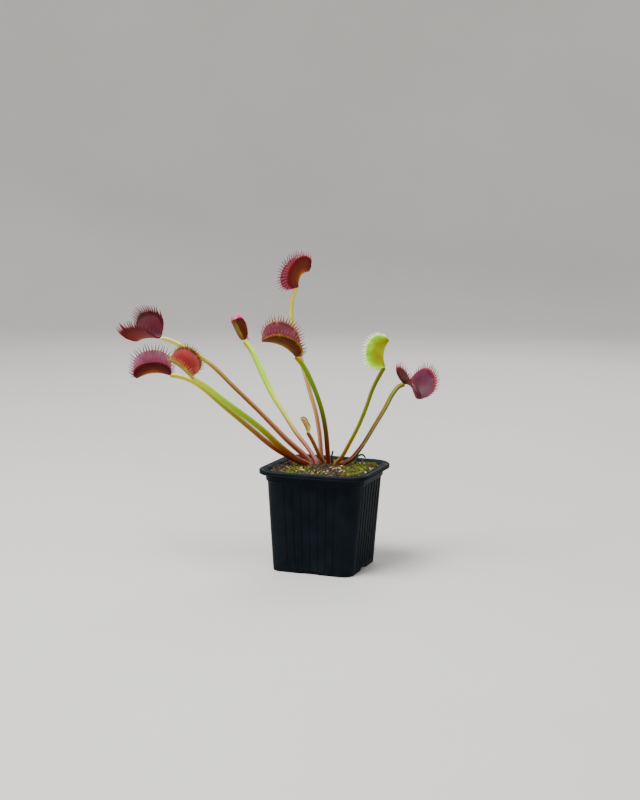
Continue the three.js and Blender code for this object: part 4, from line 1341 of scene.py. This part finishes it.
def smooth_step(value, low, high):
    """0 below low, 1 above high and a soft step between them."""
    share = np.clip((value - low) / (high - low), 0, 1)
    return share * share * (3 - 2 * share)


def tooth_count(leaf, passed):
    """How many teeth stand on the margin up to a share of its length."""
    return (passed - TOOTHED[0]) / (TOOTHED[1] - TOOTHED[0]) * leaf["trap"]["teeth"]


def blade(leaf):
    """The closed skin of both lobes, with the numbers that its finish reads."""
    trap = leaf["trap"]
    rows = (1 - np.cos(np.pi * np.linspace(0, 1, BLADE_ROWS + 1))) / 2
    columns = 1 - (1 - np.linspace(0, 1, BLADE_COLUMNS + 1)) ** EDGE_CROWDING
    s, t = np.meshgrid(rows, np.concatenate([-columns[::-1], columns[1:]]), indexing="ij")
    passed = np.interp(s, *margin_run(leaf))
    crest = np.cos(2 * np.pi * (tooth_count(leaf, passed) - 0.5))
    near_margin = smooth_step(np.abs(t), RIDGE["from"], 1)
    fade = quarter_round(np.minimum(s, 1 - s) * RIDGE["end_fade"])

    normal = skin_normal(leaf, s, t)
    outward = unit(slope(leaf, s, t, 0, SMALL_STEP)) * np.sign(t)[..., None]
    scallop = RIDGE["scallop"] * crest * fade * smooth_step(np.abs(t), RIDGE["scallop_from"], 1)
    ridge = RIDGE["height"] * crest * fade * near_margin
    middle = lobe_point(leaf, s, t) + outward * scallop[..., None]
    middle = middle + normal * ridge[..., None]

    to_margin = (1 - np.abs(t)) * lobe_reach(trap, s)[1] / LOBE["round"]
    to_end = np.minimum(s, 1 - s) * trap["length"] / LOBE["round"]
    thickness = LOBE["keel"] + (LOBE["skin"] - LOBE["keel"]) * np.minimum(1, np.abs(t) * KEEL_THINS)
    thickness = thickness * quarter_round(np.minimum(to_margin, to_end))
    half = normal * (thickness / 2)[..., None]
    inward = -trap["side"]
    faces = grid_faces(*s.shape)
    far_side = [tuple(i + s.size for i in reversed(face)) for face in faces]
    inner_skin, outer_skin = middle + inward * half, middle - inward * half
    points = np.concatenate([inner_skin.reshape(-1, 3), outer_skin.reshape(-1, 3)])
    numbers = {"reach": np.abs(t), "margin": passed, "crest": crest * near_margin, "lobe": np.sign(t)}
    piece = mesh_piece(leaf["name"] + "_lobes", placed(points) * MM, faces + far_side,
                       **{label: np.concatenate([v.ravel(), v.ravel()]) for label, v in numbers.items()})
    piece.data.polygons.foreach_set("material_index", [0] * len(faces) + [1] * len(far_side))
    return tidy(piece, weld=1e-6)


# %% [markdown]
# The inside of a lobe carries the colour that lures insects: a pale line on the midrib, a red field dotted
# with tiny glands, a dark line and then a bare margin. The outside is duller, with the leaf's green or orange
# showing at the keel. Both read how far out a place is, from 0 at the midrib to 1 at the margin. On both, the
# grooves between the ridges near the margin are darkened as painted shade.

# %% Finish of a lobe
INNER_STOPS = (0.0, 0.07, 0.45, 0.8, 0.9, 0.97)
OUTER_STOPS = (0.06, 0.26, 0.46, 0.72, 0.88, 0.985)


def lobe_finish(name, codes, stops, inside, seed, blush=None):
    """The skin of a lobe's inner or outer face. A blush is a colour laid over the second lobe only."""
    sheen = {"Sheen_Weight": 0.08, "Sheen_Roughness": 0.4, "Sheen_Tint": (0.8, 0.8, 1.0, 1)} if inside else {}
    material, nodes, shader = new_finish(
        name, Roughness=0.42 if inside else 0.5, Subsurface_Weight=0.1, Subsurface_Scale=0.0008,
        Specular_IOR_Level=0.18 if inside else 0.04, **sheen)
    reach, passed, crest = (attribute(nodes, label) for label in ("reach", "margin", "crest"))
    wander = nodes.math("MULTIPLY_ADD", speckle(nodes, 420, 2), 0.06, -0.03)
    place_out = nodes.plus(reach, wander)
    if not inside:
        from_middle = nodes.minus(passed, 0.5)
        narrowing = nodes.times(nodes.times(from_middle, from_middle), 1.3)
        still_to_go = nodes.minus(1.0, reach)
        place_out = nodes.math("MULTIPLY_ADD", narrowing, still_to_go, place_out)
    field = gradient(nodes, place_out, list(zip(stops, codes)))
    if blush:
        second_lobe = between(nodes, attribute(nodes, "lobe"), -0.2, 0.2)
        field = mixed(nodes, nodes.times(second_lobe, 0.85), field, colour(blush))

    fan = nodes.combined(nodes.times(passed, 34.0), nodes.times(reach, 1.6), float(seed))
    vein = nodes.get("ShaderNodeTexNoise", "Fac", {"Vector": fan, "Scale": 1.4, "Detail": 2.0})
    cloud = speckle(nodes, 150, 2)
    shaded = mixed(nodes, between(nodes, cloud, 0.3, 0.7), field, mixed(nodes, 0.3, field, colour("2a0608")))
    veined = mixed(nodes, nodes.times(between(nodes, vein, 0.4, 0.7), 0.2), shaded,
                   colour("f0a890" if inside else "ffb040"), "SOFT_LIGHT")
    ridged = mixed(nodes, nodes.times(between(nodes, crest, 0.05, 0.9), 0.4), veined,
                   colour(codes[-1]))
    # Painted shade: the grooves between the ridges near the margin are darkened.
    groove_painted_shade = mixed(nodes, nodes.times(between(nodes, crest, -0.05, -0.9), 0.35), ridged,
                    mixed(nodes, 1.0, ridged, colour("904848"), "MULTIPLY"))

    place = nodes.get("ShaderNodeTexCoord", "Object")
    glands = nodes.get("ShaderNodeTexVoronoi", "Distance", {"Vector": place, "Scale": 1500.0})
    gland = nodes.minus(1.0, between(nodes, glands, 0.08, 0.3))
    spotted = mixed(nodes, nodes.times(gland, 0.3 if inside else 0.1), groove_painted_shade, colour("3a0810"))
    nodes.feed(shader.inputs["Base Color"], spotted)
    relief = nodes.plus(nodes.times(gland, 0.6), nodes.times(vein, 0.8))
    bumps(nodes, shader, relief, 0.00018 if inside else 0.00025)
    return material


def painted_blade(leaf, name):
    """Both lobes of a leaf's trap, with a finish for the inside and another for the outside."""
    lobes = blade(leaf)
    seed = leaf["seed"]
    lobes.data.materials.append(lobe_finish(name + " inside", leaf["inner"], INNER_STOPS, True, seed))
    lobes.data.materials.append(lobe_finish(name + " outside", leaf["outer"], OUTER_STOPS, False, seed,
                                            leaf.get("blush")))
    return lobes


def settle_on_trap(piece, leaf):
    """Settles a part of a trap. One leaf has a green trap, and all the others are red."""
    slot = "trap_green" if leaf["name"] == "leaf_7" else "trap_red"
    settle(piece, slot, leaf["name"] + "_trap")


for leaf in LEAVES:
    settle_on_trap(painted_blade(leaf, leaf["name"]), leaf)

# %% [markdown]
# ### Teeth
#
# Long bristles stand along each margin and lace together when the trap shuts. On the inside each lobe has
# three fine hairs that set it off. All of them are the same thing at different sizes: a slim spike that bends
# one way. A geometry tree puts a straight spike on each marked point, aims it, and then bends it.

# %% A tree that sets bristles
BRISTLE = {"sides": 6, "rings": 8, "curl": 0.28, "point": 0.6, "root": 0.8, "weld": 1e-4}

nodes, given = geometry_tree("bristles", Sides="count", Rings="count", Curl="number", Paint="material")
post = nodes.get("GeometryNodeMeshCylinder", "Mesh", {
    "Vertices": given["Sides"], "Side Segments": given["Rings"], "Radius": 1.0, "Depth": 1.0})
corner = nodes.parts(nodes.get("GeometryNodeInputPosition", "Position"))
raised = nodes.plus(corner["Z"], 0.5)
left = nodes.minus(1.0, raised)
flare = nodes.math("MULTIPLY_ADD", nodes.math("POWER", left, 4.0), 0.2, BRISTLE["root"])
slim = nodes.times(nodes.math("POWER", left, BRISTLE["point"]), flare)
spike_point = nodes.combined(nodes.times(corner["X"], slim), nodes.times(corner["Y"], slim), raised)
measured = nodes.marked(post, "height", raised)
pointed = nodes.get("GeometryNodeSetPosition", "Geometry", {"Geometry": measured, "Position": spike_point})
spike = nodes.get("GeometryNodeMergeByDistance", "Geometry",
                  {"Geometry": pointed, "Distance": BRISTLE["weld"]})

bend = nodes.carried("bend", "FLOAT_VECTOR")
length, thickness = nodes.carried("length"), nodes.carried("thickness")
aim = nodes.get("FunctionNodeAxesToRotation", "Rotation", {
    "Primary Axis": nodes.carried("direction", "FLOAT_VECTOR"), "Secondary Axis": bend,
}, primary_axis="Z", secondary_axis="X")
points = nodes.get("GeometryNodeMeshToPoints", "Points", {"Mesh": given["Geometry"]})
stood = nodes.get("GeometryNodeInstanceOnPoints", "Instances", {
    "Points": points, "Instance": spike, "Rotation": aim,
    "Scale": nodes.combined(thickness, thickness, length)})
real = nodes.get("GeometryNodeRealizeInstances", "Geometry", {"Geometry": stood})
height = nodes.carried("height")
pull = nodes.times(nodes.times(length, given["Curl"]), nodes.times(height, height))
bent = nodes.get("GeometryNodeSetPosition", "Geometry",
                 {"Geometry": real, "Offset": nodes.scaled(bend, pull)})
bristle_tree = finish_tree(nodes, bent, given["Paint"])

# %% [markdown]
# Teeth stand on the crests of the ridges, evenly along the margin by its own length. They point out along
# the lobe, lean in over the trap, and are shorter towards both ends. Seeded random numbers make no two alike.

# %% Teeth and trigger hairs
TOOTH = {"thick": 0.52, "inward": 0.22, "sunk": 0.5, "uneven": 0.08, "shortest": 0.88, "longest": 1.08,
         "bend_out": 0.2}
AT_ENDS = {"length": 0.62, "thick": 0.75}  # a tooth's share of its full size at both ends of the margin
TO_MIDDLE = {"length": 0.38, "thick": 0.25}  # what it gains towards the middle
INSIDE_MARGIN = 0.9
TRIGGER_HAIRS = [(0.5, 0.3), (0.36, 0.48), (0.64, 0.48)]
TRIGGER_HAIR = {"length": 1.8, "thick": 0.11}


def bristle_points(leaf):
    """Where the teeth and hairs stand on a trap, how they point and bend, and how long and thick they are."""
    trap, random = leaf["trap"], np.random.default_rng(leaf["seed"])
    opening, lean = trap_axes(trap)[1:]
    table = margin_run(leaf)
    passed = TOOTHED[0] + (TOOTHED[1] - TOOTHED[0]) * (np.arange(trap["teeth"]) + 0.5) / trap["teeth"]
    rows = {"place": [], "direction": [], "bend": [], "length": [], "thickness": []}

    def stand(place, direction, bend, length, thickness):
        rows["place"].append(place)
        rows["direction"].append(direction)
        rows["bend"].append(unit(bend - direction * np.dot(bend, direction)))
        rows["length"].append(length)
        rows["thickness"].append(thickness)

    for t in (-1.0, 1.0):
        for s in np.interp(passed, table[1], table[0]):
            root = lobe_point(leaf, np.array(s), np.array(t))
            out = unit(root - lobe_point(leaf, np.array(s), np.array(t * INSIDE_MARGIN)))
            inward = -t * lean
            sway = random.normal(0, TOOTH["uneven"], 3)
            direction = unit(out + TOOTH["inward"] * inward + sway)
            mid = math.sin(math.pi * s)
            uneven = random.uniform(TOOTH["shortest"], TOOTH["longest"])
            length = trap["tooth_length"] * (AT_ENDS["length"] + TO_MIDDLE["length"] * mid) * uneven
            thickness = TOOTH["thick"] * leaf.get("stout", 1) * (AT_ENDS["thick"] + TO_MIDDLE["thick"] * mid)
            stand(root - TOOTH["sunk"] * out, direction, inward + TOOTH["bend_out"] * opening,
                  length, thickness)
        for s, share in TRIGGER_HAIRS:
            spot = (np.array(s), np.array(t * share))
            stand(lobe_point(leaf, *spot), -trap["side"] * skin_normal(leaf, *spot), opening,
                  TRIGGER_HAIR["length"], TRIGGER_HAIR["thick"])
    return {label: np.array(values) for label, values in rows.items()}


TOOTH_STOPS = (0.05, 0.4, 0.95)


def tooth_finish(name, codes):
    """A tooth is the colour of the margin at its root and fades to a greyish tip."""
    material, nodes, shader = new_finish(name, Roughness=0.45, Subsurface_Weight=0.15,
                                         Subsurface_Scale=0.0006, Specular_IOR_Level=0.15)
    fade = gradient(nodes, attribute(nodes, "height"), list(zip(TOOTH_STOPS, codes)))
    patches = nodes.times(speckle(nodes, 900), 0.3)
    nodes.feed(shader.inputs["Base Color"], mixed(nodes, patches, fade, colour(codes[0])))
    bumps(nodes, shader, speckle(nodes, 2500), 0.0001)
    return material


for leaf in LEAVES:
    rows = bristle_points(leaf)
    start = mesh_piece("bristle points", placed(rows["place"]) * MM, [],
                       direction=placed(rows["direction"]), bend=placed(rows["bend"]),
                       length=rows["length"] * MM, thickness=rows["thickness"] * MM)
    paint = tooth_finish(leaf["name"] + " teeth", leaf["tooth"])
    teeth = tidy(grow(leaf["name"] + "_teeth", start, bristle_tree, Sides=BRISTLE["sides"],
                      Rings=BRISTLE["rings"], Curl=BRISTLE["curl"], Paint=paint))
    settle_on_trap(teeth, leaf)

# %% [markdown]
# ### The young leaf
#
# One leaf has only just come up. Its trap is still folded in along the stalk's end, with the teeth not yet
# out. It is built as the others are, with a trap about half as long and much slimmer, so the same functions
# make it.

# %% Young leaf
YOUNG = {
    "name": "young_leaf", "width": (3.2, 3.1, 3.0, 2.9, 2.7), "depth": (2.4, 2.4, 2.5, 2.6, 2.5), "seed": 9,
    "route": [(-0.5, 5.2, 71.5), (-5, 1, 81), (-9, -2, 90), (-12.6, -5, 96.5)],
    "top": ["904438", "984c38", "98542c", "98602c", "9c6c34"],
    "keel": ["7c3028", "803828", "804024", "804824", "845028"],
    "trap": {"along": (-0.44, -0.1, 0.89), "open": (0.89, -0.1, 0.44), "length": 11.3, "breadth": 4.2,
             "half": 10, "bend": 22, "over": 1.04, "square": 3, "side": 1, "teeth": 12},
    "inner": ["b0a050"] * 6, "outer": ["84542c", "946434", "a88848", "b8a450", "c8b858", "d4cc64"],
}
paint = stalk_finish("young stalk skin", YOUNG["top"], YOUNG["keel"], YOUNG["seed"])
young_stalk = stalk_piece("young_stalk", rooted(YOUNG["route"]), YOUNG["width"], YOUNG["depth"], paint)
settle(young_stalk, "leaf_stalk", "young_leaf")
settle(painted_blade(YOUNG, "young"), "leaf_stalk", "young_leaf")

# %% [markdown]
# ### Old leaves
#
# Two leaves have died back to black, shrivelled threads. A withered stalk is thin and wrinkled, so it uses
# the stalk tree with a small section that varies along its length.

# %% Old leaves
OLD_LEAVES = [
    {"node": "old_leaf_1", "route": [(5, 14, 60), (5, 14.2, 70), (4.6, 14.6, 76), (5.4, 15, 80)],
     "width": (2.2, 2.0, 2.4, 1.5, 1.2), "depth": (1.8, 1.4, 1.7, 1.2, 0.9)},
    {"node": "old_leaf_2",
     "route": [(20, 10, 62), (21, 12, 71), (22, 15, 75), (26, 16, 77.5), (29, 14, 75.5)],
     "width": (2.3, 2.1, 2.5, 1.6, 2.3, 1.4), "depth": (1.9, 1.5, 1.8, 1.2, 1.4, 0.9)},
]
withered, nodes, shader = new_finish("withered leaf", Roughness=0.7)
nodes.feed(shader.inputs["Base Color"], gradient(
    nodes, speckle(nodes, 500, 5), [(0.35, "080605"), (0.6, "1c1410"), (0.8, "3c2c20")]))
bumps(nodes, shader, speckle(nodes, 1500, 6), 0.0004)
for old in OLD_LEAVES:
    remains = stalk_piece(old["node"] + "_remains", old["route"], old["width"], old["depth"], withered)
    settle(remains, "old_leaf", old["node"])

# %% [markdown]
# ## The size
#
# The dressed plant has to stay as big as the imported one. Both boxes are printed.

# %% Sizes
DRESSED_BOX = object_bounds()
sizes = {"cad": [list(corner) for corner in CAD_BOX], "dressed": [list(corner) for corner in DRESSED_BOX]}
for label, (low, high) in sizes.items():
    print(label, [round(1000 * (b - a), 1) for a, b in zip(low, high)], "mm")
